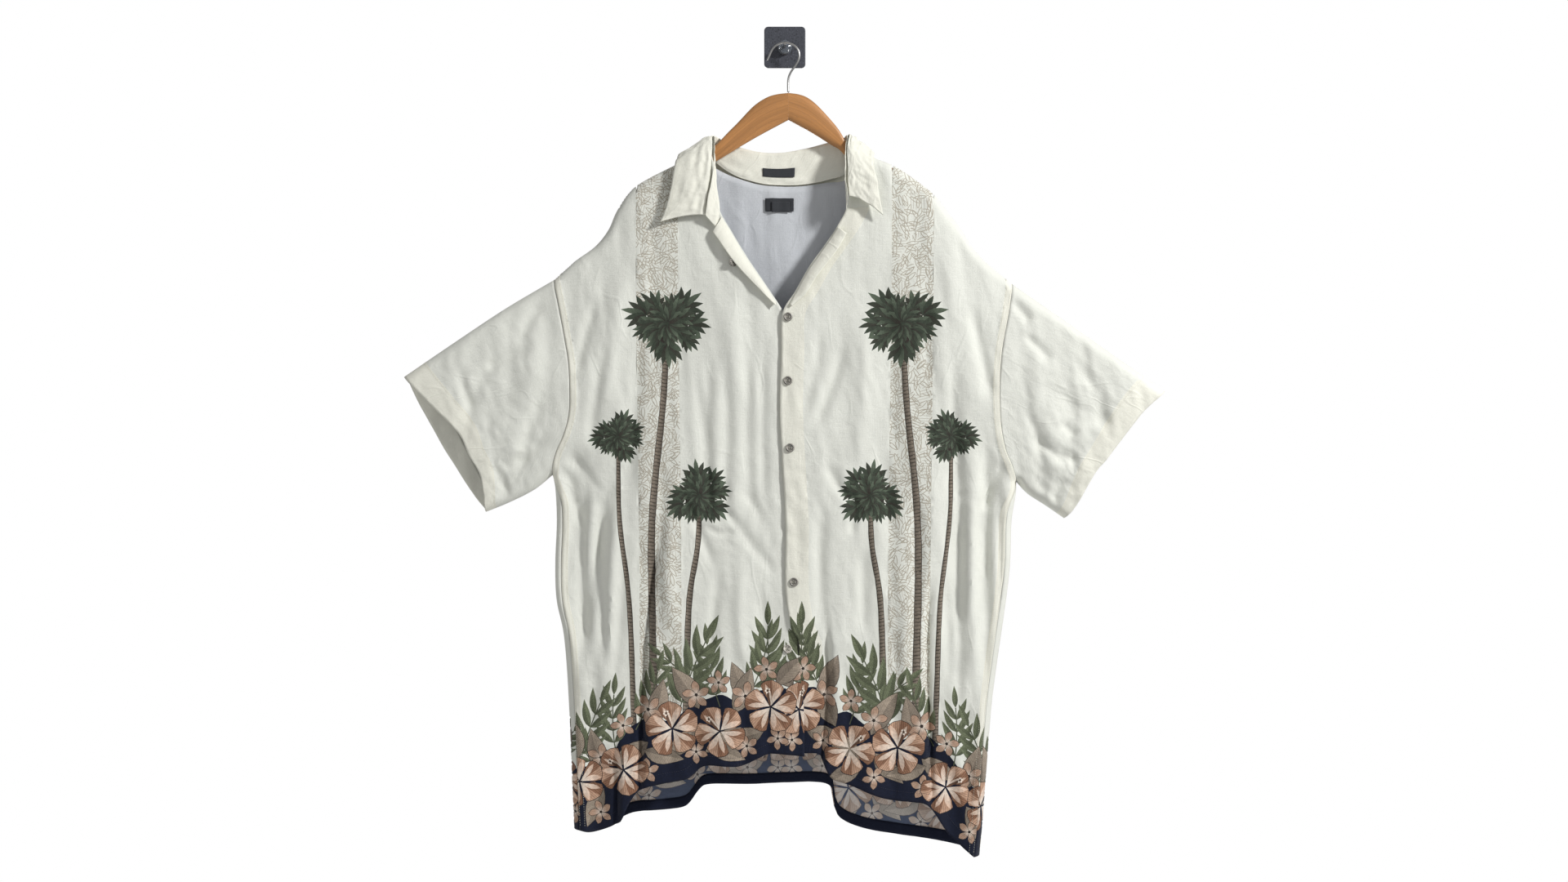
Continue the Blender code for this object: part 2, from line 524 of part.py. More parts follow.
def fall_points(station, out):
    """The collar fall's outer surface, from the roll to its edge."""
    neck = at_station([row.neck for row in COLLAR], station)
    roll = at_station([row.roll for row in COLLAR], station)
    edge = at_station([row.edge for row in COLLAR], station)
    rise = (roll - neck) / np.linalg.norm(roll - neck, axis=1)[:, None]
    bow = roll + 0.3 * (edge - roll) + FALL_LIFT * rise
    out = np.asarray(out)[:, None, None]
    return roll * (1 - out) ** 2 + 2 * bow * out * (1 - out) + edge * out ** 2


def lapel_points(side, station, out):
    rows = LAPEL[side]
    fold = at_station([(row.fold_x, row.fold_z) for row in rows], station)
    free = at_station([row.free for row in rows], station)
    start_x = fold[:, 0] - INWARD[side] * LAPEL_BITE
    start_y = depth(start_x, fold[:, 1], FRONT) + layer_shift(start_x, fold[:, 1], side)
    start = np.stack([start_x, start_y - FACING, fold[:, 1]], -1)
    out = np.asarray(out)[:, None, None]
    bulge = np.array([0, -2.0, 0]) * np.sin(math.pi * out)
    return start * (1 - out) + free * out + bulge


# Meshes ---------------------------------------------------------------------------------------
def finish_material(name, finish):
    material = bpy.data.materials.new(name)
    material.use_nodes = True
    shader = material.node_tree.nodes["Principled BSDF"]
    shader.inputs["Base Color"].default_value = (*finish.colour, 1)
    shader.inputs["Roughness"].default_value = finish.roughness
    shader.inputs["Metallic"].default_value = finish.metallic
    material.diffuse_color = (*finish.colour, 1)
    return material


def add_object(name, mesh, finish, angle=50):
    mesh.shade_smooth()
    mesh.set_sharp_from_angle(angle=math.radians(angle))
    mesh.materials.append(finish_material(name, finish))
    piece = bpy.data.objects.new(name, mesh)
    bpy.context.collection.objects.link(piece)
    return piece


def unit_cross(across, along):
    normal = np.cross(across, along)
    return normal / np.maximum(np.linalg.norm(normal, axis=-1), 1e-9)[..., None]


def grid_normals(points, ring):
    """Unit normals of a grid of points, rows by columns."""
    if ring:
        across = np.roll(points, -1, 1) - np.roll(points, 1, 1)
    else:
        across = np.gradient(points, axis=1)
    return unit_cross(across, np.gradient(points, axis=0))


def wall(name, points, thickness, outside, finish, lift=0.0, ring=False, normal=None):
    """A closed wall under a grid of points; outside is +1 or -1 on the grid's normals."""
    normal = (grid_normals(points, ring) if normal is None else normal) * outside
    outer = points + normal * lift
    inner = outer - normal * thickness
    rows, columns = points.shape[:2]
    count = rows * columns
    index = np.arange(count).reshape(rows, columns)
    faces = []
    for i in range(rows - 1):
        for j in range(columns if ring else columns - 1):
            k = (j + 1) % columns
            a, b, c, d = index[i, j], index[i, k], index[i + 1, k], index[i + 1, j]
            faces += [[a, b, c], [a, c, d], [c + count, b + count, a + count],
                      [d + count, c + count, a + count]]
    edges = []
    steps = columns if ring else columns - 1
    for j in range(steps):
        k = (j + 1) % columns
        edges += [(index[0, k], index[0, j]), (index[-1, j], index[-1, k])]
    if not ring:
        for i in range(rows - 1):
            edges += [(index[i, 0], index[i + 1, 0]), (index[i + 1, -1], index[i, -1])]
    faces += [[b, a, a + count, b + count] for a, b in edges]
    if outside < 0:
        faces = [list(reversed(face)) for face in faces]
    vertices = np.vstack([outer.reshape(-1, 3), inner.reshape(-1, 3)]) * MM
    mesh = bpy.data.meshes.new(name)
    mesh.from_pydata(vertices.tolist(), [], [[int(v) for v in face] for face in faces])
    edit = bmesh.new()
    edit.from_mesh(mesh)
    bmesh.ops.recalc_face_normals(edit, faces=edit.faces)
    edit.to_mesh(mesh)
    edit.free()
    return add_object(name, mesh, finish)


def loft(name, rings, finish):
    """A closed solid through rings of equal counts, capped at both ends."""
    edit = bmesh.new()
    loops = [[edit.verts.new([c * MM for c in point]) for point in ring] for ring in rings]
    for first, second in zip(loops, loops[1:]):
        for j in range(len(first)):
            k = (j + 1) % len(first)
            edit.faces.new([first[j], first[k], second[k], second[j]])
    edit.faces.new(loops[0][::-1])
    edit.faces.new(loops[-1])
    bmesh.ops.recalc_face_normals(edit, faces=edit.faces)
    mesh = bpy.data.meshes.new(name)
    edit.to_mesh(mesh)
    edit.free()
    return add_object(name, mesh, finish)


def circle(radius, sides):
    return [(radius * math.cos(2 * math.pi * k / sides), radius * math.sin(2 * math.pi * k / sides))
            for k in range(sides)]


# Pieces of the shirt --------------------------------------------------------------------------
def front_normals(side, across, down):
    points = lambda a, d: front_points(side, across + a * STEP, down + d * STEP)
    return unit_cross(points(1, 0) - points(-1, 0), points(0, 1) - points(0, -1))


def make_fronts():
    for side in (RIGHT, LEFT):
        across, down = np.meshgrid(columns(side), FRONT_ROWS)
        wall("front_" + side, front_points(side, across, down), CLOTH, INWARD[side], CLOTH_FINISH,
             normal=front_normals(side, across, down))


def make_placket():
    across, down = np.meshgrid(PLACKET_COLUMNS, FRONT_ROWS[FRONT_ROWS > 0.28])
    wall("placket_left", front_points(LEFT, across, down), FACING, INWARD[LEFT], FACING_FINISH,
         lift=-(CLOTH + GAP), normal=front_normals(LEFT, across, down))


def make_lapels():
    for side in (RIGHT, LEFT):
        points = lapel_points(side, np.linspace(0, len(LAPEL[side]) - 1, 11), np.linspace(0, 1, 4))
        wall("lapel_" + side, points, FACING, -INWARD[side], FACING_FINISH)


def make_back():
    down = BACK_ROWS
    normal = unit_cross(back_points(down, 0.3) - back_points(down, -0.3),
                        back_points(down + STEP) - back_points(down - STEP))
    wall("back", back_points(down), CLOTH, 1, CLOTH_FINISH, normal=normal)
    hem = slice(len(EDGE_COLUMNS) - 1, 1 - len(EDGE_COLUMNS))
    wall("back_hem", back_points(down)[-2:, hem], FACING, 1, NAVY_FINISH, lift=-(CLOTH + GAP),
         normal=normal[-2:, hem])


def make_sleeves():
    for side in (RIGHT, LEFT):
        points = sleeve_points(side, SLEEVE_ROWS)
        along = sleeve_points(side, SLEEVE_ROWS + STEP) - sleeve_points(side, SLEEVE_ROWS - STEP)
        normal = unit_cross(np.roll(points, -1, 1) - np.roll(points, 1, 1), along)
        wall("sleeve_" + side, points, CLOTH, INWARD[side], CLOTH_FINISH, ring=True, normal=normal)
        wall("cuff_" + side, points[-3:], FACING, INWARD[side], FACING_FINISH, lift=-(CLOTH + GAP),
             ring=True, normal=normal[-3:])


def make_collar():
    station = np.linspace(0, len(COLLAR) - 1, 37)
    stand = stand_points(station, np.linspace(0, 1, 4))
    wall("collar_stand", stand, CLOTH, 1, FACING_FINISH, lift=CLOTH)
    out = np.array([0, 0.08, 0.2, 0.4, 0.7, 1])
    wall("collar_fall", fall_points(station, out), CLOTH, 1, FACING_FINISH)


def make_labels():
    x, z = np.meshgrid(np.linspace(-28, 13, 4), np.linspace(-221, -240, 3))
    patch = np.stack([x, depth(x, z, BACK), z], -1)
    wall("label_neck", patch, LABEL, -1, LABEL_FINISH, lift=CLOTH + GAP + LABEL)
    x, z = np.meshgrid(np.linspace(-19, 7, 3), np.linspace(-226, -241, 3))
    patch = np.stack([x, depth(x, z, BACK), z], -1)
    wall("label_size", patch, LABEL, -1, LABEL_FINISH, lift=CLOTH + 2 * (GAP + LABEL))
    patch = stand_points(np.linspace(9.16, 10.59, 5), (0.23, 0.37, 0.5))
    wall("label_stand", patch, LABEL, 1, LABEL_FINISH, lift=CLOTH + GAP + LABEL + 0.2)


def make_buttons():
    edge = BUTTON_RADIUS - 0.6
    profile = [(edge, 0), (BUTTON_RADIUS, 0.7), (BUTTON_RADIUS, BUTTON_THICK - 0.7), (edge, BUTTON_THICK)]
    rings = [[(x, y, height) for x, y in circle(radius, 16)] for radius, height in profile]
    for button in BUTTONS:
        x = button.x + BUTTON_RADIUS * np.array([-1, 1, 0, 0, 0])
        z = button.z + BUTTON_RADIUS * np.array([0, 0, -1, 1, 0])
        y = depth(x, z, FRONT) + layer_shift(x, z, button.front)
        tilt_z = math.atan2(y[1] - y[0], x[1] - x[0])
        tilt_x = math.atan2(y[3] - y[2], z[3] - z[2])
        fit = y[4] + (x - x[4]) * math.tan(tilt_z) + (z - z[4]) * math.tan(tilt_x)
        piece = loft(button.name, rings, BUTTON_FINISH)
        piece.location = (button.x * MM, (y[4] - GAP - 0.1 - max(fit - y)) * MM, button.z * MM)
        piece.rotation_euler = (math.pi / 2 - tilt_x, 0, tilt_z)
    piece = loft("button_collar", rings, BUTTON_FINISH)
    piece.location = [c * MM for c in COLLAR_BUTTON]
    piece.rotation_euler = COLLAR_BUTTON_TURN


# The hanger and the wall hook -----------------------------------------------------------------
def arm_ring(arm, sides=12):
    """An arm's section: straight cheeks, a rounded top and a rounded underside."""
    middle, half = (arm.top + arm.bottom) / 2, (arm.top - arm.bottom) / 2
    ring = []
    for k in range(sides):
        angle = 2 * math.pi * (k + 0.5) / sides
        y, z = math.sin(angle), math.cos(angle)
        ring.append((arm.x, HANGER_Y + arm.half * math.copysign(abs(y) ** 0.7, y),
                     middle + half * math.copysign(abs(z) ** 0.6, z)))
    return ring


def make_hanger():
    for side in (RIGHT, LEFT):
        loft("hanger_arm_" + side, [arm_ring(arm) for arm in HANGER[side]], WOOD_FINISH)
    curve = bpy.data.curves.new("hanger_hook", "CURVE")
    curve.dimensions = "3D"
    curve.bevel_depth = WIRE_RADIUS * MM
    curve.bevel_resolution = 2
    curve.use_fill_caps = True
    route = at_share(WIRE, np.linspace(0, 1, 32))
    spline = curve.splines.new("POLY")
    spline.points.add(len(route) - 1)
    for point, (x, z) in zip(spline.points, route):
        point.co = (x * MM, HANGER_Y * MM, z * MM, 1)
    curve.materials.append(finish_material("hanger_hook", STEEL_FINISH))
    bpy.context.collection.objects.link(bpy.data.objects.new("hanger_hook", curve))


def make_wall_hook():
    half, corner = PAD_SIZE / 2, PAD_CORNER
    outline = []
    for turn, (sx, sz) in enumerate([(1, 1), (-1, 1), (-1, -1), (1, -1)]):
        for step in range(5):
            angle = math.pi / 2 * (turn + step / 4)
            outline.append((sx * (half - corner) + corner * math.cos(angle),
                            sz * (half - corner) + corner * math.sin(angle)))
    loft("wall_pad", [[(x, y, z) for x, z in outline] for y in (0, -PAD_THICK)], PAD_FINISH)
    face = -PAD_THICK - GAP
    front = face - BOSS_DEPTH
    steps = [(BOSS_RADIUS, face), (BOSS_RADIUS, front + 1.5), (BOSS_RADIUS - 1.5, front)]
    rings = [[(x, y, z + PEG_Z) for x, z in circle(radius, 28)] for radius, y in steps]
    loft("wall_boss", rings, CLEAR_FINISH)
    steps = [(PEG_RADIUS, front - GAP), (PEG_RADIUS, PEG_END + 0.6), (PEG_RADIUS - 0.6, PEG_END)]
    rings = [[(x, y, z + PEG_Z) for x, z in circle(radius, 14)] for radius, y in steps]
    loft("wall_peg", rings, STEEL_FINISH)


def main():
    for piece in list(bpy.data.objects):
        bpy.data.objects.remove(piece, do_unlink=True)
    make_fronts()
    make_placket()
    make_lapels()
    make_back()
    make_sleeves()
    make_collar()
    make_labels()
    make_buttons()
    make_hanger()
    make_wall_hook()


main()
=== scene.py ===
"""Dresses a printed short-sleeved shirt, its wooden hanger and its wall hook.

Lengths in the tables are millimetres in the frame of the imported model: X runs to the viewer's right, Y
towards the wall and Z up, from the centre of the wall pad's back face. The cloth is drawn on two sheets,
front and back, that meet in rounded folds at the silhouette, so panels share one surface. The print is cut
into the cloth's own faces, so its edges are as sharp as its outlines.
"""
import math
from collections import namedtuple

import bmesh
import bpy
import numpy as np
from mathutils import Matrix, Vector
from mathutils.geometry import delaunay_2d_cdt


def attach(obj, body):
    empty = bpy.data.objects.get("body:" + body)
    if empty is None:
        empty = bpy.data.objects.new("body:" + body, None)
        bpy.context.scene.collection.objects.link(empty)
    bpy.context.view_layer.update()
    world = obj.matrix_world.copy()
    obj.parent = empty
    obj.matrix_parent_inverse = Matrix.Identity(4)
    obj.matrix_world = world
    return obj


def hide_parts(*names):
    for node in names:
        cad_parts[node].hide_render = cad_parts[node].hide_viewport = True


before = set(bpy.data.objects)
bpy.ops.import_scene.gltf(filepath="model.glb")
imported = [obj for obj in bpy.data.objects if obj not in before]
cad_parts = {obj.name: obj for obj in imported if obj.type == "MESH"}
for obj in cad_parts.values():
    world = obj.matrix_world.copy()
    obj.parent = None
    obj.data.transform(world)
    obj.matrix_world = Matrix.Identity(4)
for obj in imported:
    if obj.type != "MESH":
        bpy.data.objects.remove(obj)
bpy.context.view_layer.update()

bl_info = {
    "name": "Hanging Shirt",
    "version": (1, 0, 0),
    "blender": (4, 5, 0),
    "location": "View3D > Sidebar > Shirt",
    "description": "Dresses a printed shirt on a wooden hanger and a wall hook",
    "category": "Add Mesh",
}

MM = 0.001
RIGHT, LEFT, FRONT, BACK = "right", "left", "front", "back"     # the wearer's right is at -X
INWARD = {RIGHT: 1.0, LEFT: -1.0}   # the direction of X from a side to the middle

# Sizes of the solids that the cloth follows
CLOTH, GAP = 1.5, 0.3   # thickness of a panel's wall, and the gap between panels
SHOULDER_SEAM = 8.0     # how far behind the shoulder ridge the front panel ends
SIDE_WRAP = 10.0        # how far the back panel comes round onto the front
ARM_SHARE = 0.35        # share of a panel's rows that lies along the armhole
FOLD, SWELL = 14.0, 160.0   # half width of the silhouette's folds, and the reach of a sheet's swelling
FOLD_SHARE = 0.6        # share of the depth that the rounded fold takes
LAYER = 2.0             # how far each front moves off the shared surface where they overlap
SWAP_HEIGHT = -868.0    # below the last fastened button the fronts change order
FACING = 1.0            # thickness of a turned-in strip
PLACKET = 33.0          # width of the facing behind the buttonhole edge
HEM_TURN, CUFF_TURN = 16.0, 28.0    # widths of the strips inside the back hem and each cuff
BODY_DROP, SLEEVE_LENGTH, FRONT_WIDTH, BACK_WIDTH, SLEEVE_WIDTH = 790.0, 200.0, 330.0, 600.0, 270.0
ROLL_IN, ROLL_DROP = 2.6, 1.0   # the collar's stand ends this far inside the roll and under it
LAPEL_BITE = 2.5        # how far a lapel's root lies over the front's edge
FALL_LIFT = 8.0         # how far the collar's fall bows up before it turns down
BUTTON_RADIUS, BUTTON_THICK = 6.35, 2.6
HOLE_RADIUS, HOLE_OFFSET, DISH = 0.9, 1.45, 0.75    # a button's holes, and the depth of its dish
HANGER_Y, WIRE_RADIUS = -25.5, 1.5
PAD_SIZE, PAD_THICK, PAD_CORNER = 60.0, 3.0, 6.0
BOSS_RADIUS, BOSS_DEPTH = 10.0, 9.0
PEG_RADIUS, PEG_END, PEG_Z = 2.0, -36.0, -1.3
SEAM_ROW, SEAM_OFF = SHOULDER_SEAM / 276, 0.0006    # the shoulder seam as a share of the armhole's height, and its gap

# Sizes of the finer meshes and of the sewing
CELL, BACK_CELL, SLEEVE_CELL = 4.0, 5.2, 3.4
TILE = 12               # cells of a tile that is cut at once
WELD = 0.004            # points closer than this are one
FLAT = 0.003            # a triangle lower than this on a tile's rim is left out
EDGE_STEPS = (0, 0.35, 1.1, 2.4, 4.4, 7, 10, 14)    # columns beside a rounded fold
WRAP_STEPS = (1, 0.75, 0.5, 0.28, 0.12, 0.04)       # shares of a wrap round a side fold
SEAM_BAND, SEAM_RAISE = 9.5, 0.45   # width and height of a flat seam
STRIP_THICK, LABEL = 0.4, 0.8       # thickness of a turned-in strip's shell and of a label
STITCH_LIFT, HEM_ROW = 0.3, 13.0    # stitches stand off the cloth, and off the front hems' edge
LEAF_REACH, LEAF_HALF = 0.0095, 0.0024      # half length and half width of the strip's leaves, in metres
LABEL_STATIONS, LABEL_UP = (9.16, 10.59), (0.23, 0.5)       # the label's place on the collar stand
HANG_RELIEF = 1.3       # soft upright waves all over
CRUMPLE_RELIEF = 0.26   # small dents, more of them in the crumpled patches
FOLD_CLEAR, CREASE_CLEAR = 34.0, 18.0       # folds and fine creases die out this near the silhouette
NOISE_CELLS, CHUNK = 64, 4000

# The stage, in metres: each light's place, aim, size and power
CAMERA_PLACE, CAMERA_LENS = (-0.00117, -2.640, -0.5722), 41.67
FLOOR_SIZE, FLOOR_LEVEL = 3.0, -1.9
SKY_LIGHT, SKY_SEEN = 0.29, 1.0     # the world's strength as light, and as the plain backdrop
LIGHTS = {"key": ((2.5, -1.8, 1.2), (0, 0, -0.55), 0.5, 114), "fill": ((-2.4, -2.0, -0.2), (0, 0, -0.6), 1.6, 10),
          "back": ((-1.0, 2.6, -0.9), (0, 0.2, -0.9), 1.2, 34)}


def line(*numbers):
    return np.reshape(numbers, (-1, 2))


# Silhouette lines: x, z
SHOULDER = {
    RIGHT: line(-109, -150, -145, -168, -202, -197, -225, -215, -243, -243, -254, -268, -273, -292, -303, -314,
        -332, -340),
    LEFT: line(98, -150, 131, -165, 158, -176, 190, -197, 218, -220, 235, -243, 253, -267, 268, -290, 288, -313,
        327, -346),
}
SLEEVE_TOP = {
    RIGHT: line(-332, -340, -402, -382, -476, -432, -546, -480),
    LEFT: line(327, -346, 399, -397, 469, -447, 545, -501),
}
SLEEVE_FOOT = {
    RIGHT: line(-334, -621, -360, -642, -395, -660, -429, -674),
    LEFT: line(333, -631, 349, -648, 375, -665, 401, -683),
}
SIDE = {
    RIGHT: line(-334, -621, -330, -642, -328, -689, -330, -748, -328, -800, -317, -854, -310, -947, -305, -1064,
        -302, -1126),
    LEFT: line(333, -631, 332, -650, 326, -689, 324, -748, 317, -807, 300, -924, 293, -995, 284, -1112,
        279, -1164),
}

# Seam lines on the sheets: x, z
ARMHOLE = {
    (RIGHT, FRONT): line(-332, -340, -326, -367, -317, -413, -309, -461, -307, -510, -309, -537, -316, -563,
        -329, -593, -334, -621),
    (LEFT, FRONT): line(327, -346, 320, -391, 311, -438, 307, -483, 307, -523, 310, -558, 316, -586, 324, -605,
        333, -631),
    (RIGHT, BACK): line(-332, -340, -318, -388, -310, -448, -309, -508, -316, -568, -334, -621),
    (LEFT, BACK): line(327, -346, 315, -396, 308, -452, 307, -512, 314, -576, 333, -631),
}
FRONT_EDGE = {
    RIGHT: line(-109, -150, -100, -180, -97, -210, -94, -240, -77, -271, -54, -309, -25, -352, -4, -384,
        17, -424, 26, -470, 28, -580, 31, -758, 27, -817, 18.6, -856, 18.6, -876, 23, -912, 27, -954,
        28, -1020),
    LEFT: line(98, -150, 93, -191, 89, -235, 76, -263, 57, -292, 34, -324, 15, -358, -4, -391, -5, -444,
        -7, -525, -4, -595, 1, -688, 1, -781, 9, -833, 19.4, -856, 19.4, -876, 11, -909, 8, -956, 10, -1016),
}
HEM = {
    (RIGHT, FRONT): line(28, -1020, -20, -1016, -43, -1024, -68, -1034, -117, -1033, -142, -1051, -179, -1058,
        -212, -1067, -229, -1087, -240, -1110, -251, -1118, -281, -1129, -302, -1126),
    (LEFT, FRONT): line(10, -1016, 34, -1016, 51, -1018, 58, -1034, 70, -1052, 95, -1060, 146, -1079,
        185, -1084, 208, -1088, 222, -1103, 240, -1129, 260, -1148, 279, -1164),
    BACK: line(-302, -1126, -284, -1135, -255, -1128, -238, -1117, -210, -1107, -150, -1102, -134, -1090,
        -124, -1076, -110, -1068, -50, -1068, 0, -1066, 62, -1068, 71, -1100, 83, -1119, 123, -1134, 199, -1145,
        250, -1155, 279, -1164),
}
BACK_NECK = line(-109, -150, -103, -162, -72, -177, -37, -187.4, -7, -190.2, 28, -189.4, 64, -184, 80, -183,
                 92, -177, 98, -150)
CUFF_EDGE = {
    (RIGHT, FRONT): line(-429, -674, -430, -648, -434, -624, -440, -610, -451, -592, -461, -568, -475, -550,
        -502, -524, -526, -500, -546, -480),
    (RIGHT, BACK): line(-429, -674, -448, -652, -477, -608, -496, -578, -515, -543, -531, -514, -546, -480),
    (LEFT, FRONT): line(401, -683, 416, -665, 442, -619, 460, -597, 495, -551, 517, -525, 545, -501),
    (LEFT, BACK): line(401, -683, 412, -660, 436, -616, 454, -592, 488, -548, 512, -523, 545, -501),
}

# Height of a row, and the sheets' y there: at the silhouette, in front and behind
DEPTHS = [(-100, -24, -38, -11), (-200, -24, -42, -11), (-384, -25, -47, -12), (-620, -27, -51, -13),
          (-750, -30, -54, -13), (-868, -32, -59, -14), (-1010, -34, -65, -14), (-1160, -36, -69, -14)]
CUFF_DEPTH = {"side": -34, FRONT: -56, BACK: -13}
SLEEVE_FROM, SLEEVE_TO = 320, 520       # the sheets change to it between these x

# Folds: three points (x, z), depth and width. A crease is a trough, or a ridge where its depth is
# below 0, and a lap sets its +X side forward
LAPS = {
    FRONT: [(-177, -700, -190, -830, -206, -1130, 8, 9), (207, -740, 199, -870, 208, -1150, -8, 9),
        (62, -800, 66, -930, 50, -1080, 7, 8), (-236, -980, -234, -1060, -238, -1180, 7, 8)],
    BACK: [(70, -820, 68, -950, 68, -1130, 5, 8), (-128, -860, -124, -970, -128, -1130, -5, 8)],
}
CREASES = {
    FRONT: [(-299, -560, -301, -690, -296, -860, 7, 16), (-236, -570, -272, -740, -297, -860, 5, 14),
        (241, -570, 242, -700, 240, -890, 6, 16), (300, -560, 281, -700, 290, -860, 6, 14),
        (-250, -1000, -262, -1070, -272, -1200, 8, 16), (225, -1010, 236, -1080, 240, -1200, 8, 14),
        (-210, -260, -250, -420, -285, -560, -4, 26), (215, -262, 252, -420, 284, -560, -4, 26),
        (-120, -300, -150, -480, -140, -700, 3.5, 24), (120, -300, 150, -480, 146, -720, 3.5, 24),
        (-90, -880, -84, -960, -92, -1100, -6, 20), (-120, -860, -126, -960, -122, -1100, 5, 14),
        (130, -860, 120, -960, 124, -1140, -5, 24), (-356, -400, -372, -500, -392, -640, -4, 22),
        (352, -410, 372, -510, 380, -650, -4, 22), (-360, -470, -420, -520, -470, -520, 4, 18),
        (360, -480, 420, -530, 470, -540, 4, 18)],
    BACK: [(-210, -300, -235, -560, -240, -900, 5, 30), (205, -300, 228, -560, 222, -900, 5, 30),
        (-20, -420, -30, -700, -24, -1100, 4, 36), (-185, -800, -190, -950, -196, -1180, 5, 22),
        (170, -800, 180, -950, 176, -1200, 5, 22)],
}
# Finer creases than the solids have
FINE_CREASES = {
    FRONT: [(-108, -430, -110, -560, -104, -680, 4, 7), (-84, -440, -82, -560, -88, -700, 4, 8),
        (-52, -420, -54, -560, -48, -690, 4, 8), (-30, -410, -32, -540, -28, -660, 3, 6),
        (-128, -460, -118, -570, -110, -690, 4, 8), (-66, -300, -76, -420, -74, -520, -3, 13),
        (-266, -360, -284, -420, -299, -480, 4.5, 8), (-250, -410, -268, -500, -282, -590, 5, 9),
        (-230, -330, -244, -420, -262, -540, -3, 12), (-200, -380, -214, -520, -226, -660, 4, 10),
        (-322, -600, -306, -640, -290, -700, 4.5, 7), (-316, -590, -288, -612, -262, -650, 4, 8),
        (-296, -640, -310, -770, -300, -870, 5, 8), (-256, -670, -273, -780, -289, -875, 4.5, 9),
        (-226, -700, -236, -820, -246, -920, 4, 8), (-160, -640, -166, -760, -158, -860, -4, 11),
        (-142, -652, -122, -700, -100, -756, 4, 6), (-92, -658, -58, -706, -10, -766, 4, 6),
        (-96, -750, -100, -810, -110, -880, 4, 7), (-60, -740, -66, -820, -58, -900, -4, 9),
        (-36, -780, -30, -850, -38, -930, 4, 8), (-118, -690, -92, -704, -66, -700, 3, 5),
        (-70, -640, -46, -660, -30, -692, 3, 5), (-270, -900, -276, -990, -272, -1080, 4.5, 9),
        (-168, -900, -160, -980, -166, -1060, 5, 9), (-20, -900, -26, -960, -22, -1030, 4.5, 8),
        (84, -430, 70, -486, 38, -562, 4.5, 8), (52, -400, 44, -470, 22, -540, 3, 8),
        (56, -600, 74, -632, 99, -668, 4, 7), (110, -380, 112, -500, 104, -610, -3, 12),
        (95, -640, 101, -676, 92, -708, 4, 6), (52, -640, 50, -760, 54, -850, 4.5, 9),
        (109, -720, 112, -780, 110, -850, 4, 8), (140, -560, 152, -700, 148, -800, 4, 10),
        (243, -440, 240, -560, 235, -670, 4.5, 9), (264, -370, 280, -440, 296, -520, 4.5, 8),
        (212, -340, 222, -430, 230, -520, -3, 12), (318, -598, 300, -630, 280, -676, 4.5, 7),
        (276, -650, 284, -745, 259, -880, 5, 9), (246, -676, 244, -760, 242, -840, 4, 8),
        (228, -740, 232, -840, 236, -930, 4.5, 8), (176, -800, 170, -880, 174, -980, -4, 10),
        (86, -880, 92, -960, 88, -1060, 4.5, 9), (150, -900, 156, -990, 150, -1080, 4.5, 9),
        (262, -920, 258, -1010, 264, -1110, 5, 9), (-344, -372, -366, -400, -380, -440, 4, 8),
        (-350, -430, -392, -452, -430, -470, 4, 8), (-462, -462, -458, -496, -446, -532, 4, 7),
        (-400, -430, -440, -500, -452, -560, 3, 9), (-336, -560, -372, -596, -410, -610, 5, 9),
        (-340, -500, -366, -560, -384, -640, 4, 9), (-420, -600, -404, -630, -396, -660, 4.5, 8),
        (324, -370, 340, -388, 352, -404, 4, 7), (339, -418, 362, -438, 380, -460, 4, 7),
        (395, -545, 404, -554, 416, -566, 4, 7), (350, -560, 386, -590, 424, -600, 5, 9),
        (338, -510, 364, -580, 370, -660, 4, 9), (420, -460, 446, -506, 452, -560, 4, 9),
        (400, -620, 390, -646, 380, -674, 4.5, 8), (-282, -600, -291, -740, -286, -900, 6.5, 8),
        (-317, -640, -322, -760, -316, -900, 6.5, 7), (-262, -620, -263, -760, -256, -890, 6, 8),
        (-300, -880, -307, -1000, -303, -1120, 6.5, 8), (-240, -640, -245, -780, -249, -920, -5, 8),
        (-182, -560, -177, -700, -184, -860, 4.5, 9), (244, -515, 251, -700, 247, -1000, 6, 7),
        (287, -560, 291, -740, 284, -960, 6, 8), (304, -600, 309, -780, 307, -1000, 6.5, 7),
        (270, -600, 268, -760, 270, -930, -5, 8), (186, -620, 191, -760, 184, -900, 4.5, 9),
        (-62, -940, -57, -1000, -63, -1060, 5, 8), (211, -760, 203, -880, 212, -1150, 7, 4),
        (-181, -720, -194, -830, -210, -1130, 7, 4), (58, -820, 62, -930, 47, -1080, 6, 4),
        (-240, -990, -238, -1060, -242, -1180, 6, 4)],
    BACK: [(-110, -260, -120, -420, -112, -600, 3, 12), (-60, -330, -70, -520, -66, -700, 2.5, 10),
        (30, -300, 36, -470, 30, -640, -3, 13), (90, -360, 96, -540, 88, -720, 3, 11),
        (130, -300, 140, -470, 146, -640, 2.5, 10), (-160, -420, -170, -600, -160, -780, -3, 13),
        (-280, -560, -286, -700, -280, -880, 3.5, 10), (276, -560, 280, -700, 270, -880, 3.5, 10),
        (-90, -760, -86, -900, -92, -1050, 3.5, 10), (10, -780, 16, -920, 8, -1060, 3.5, 10),
        (120, -860, 126, -980, 118, -1120, 3.5, 10), (-250, -900, -256, -1000, -250, -1120, 3.5, 10),
        (226, -900, 232, -1010, 226, -1140, 3.5, 10), (-360, -420, -400, -500, -420, -600, 3.5, 10),
        (-340, -520, -380, -580, -400, -640, 3.5, 9), (356, -430, 396, -510, 410, -610, 3.5, 10),
        (340, -530, 370, -590, 384, -650, 3.5, 9)],
}
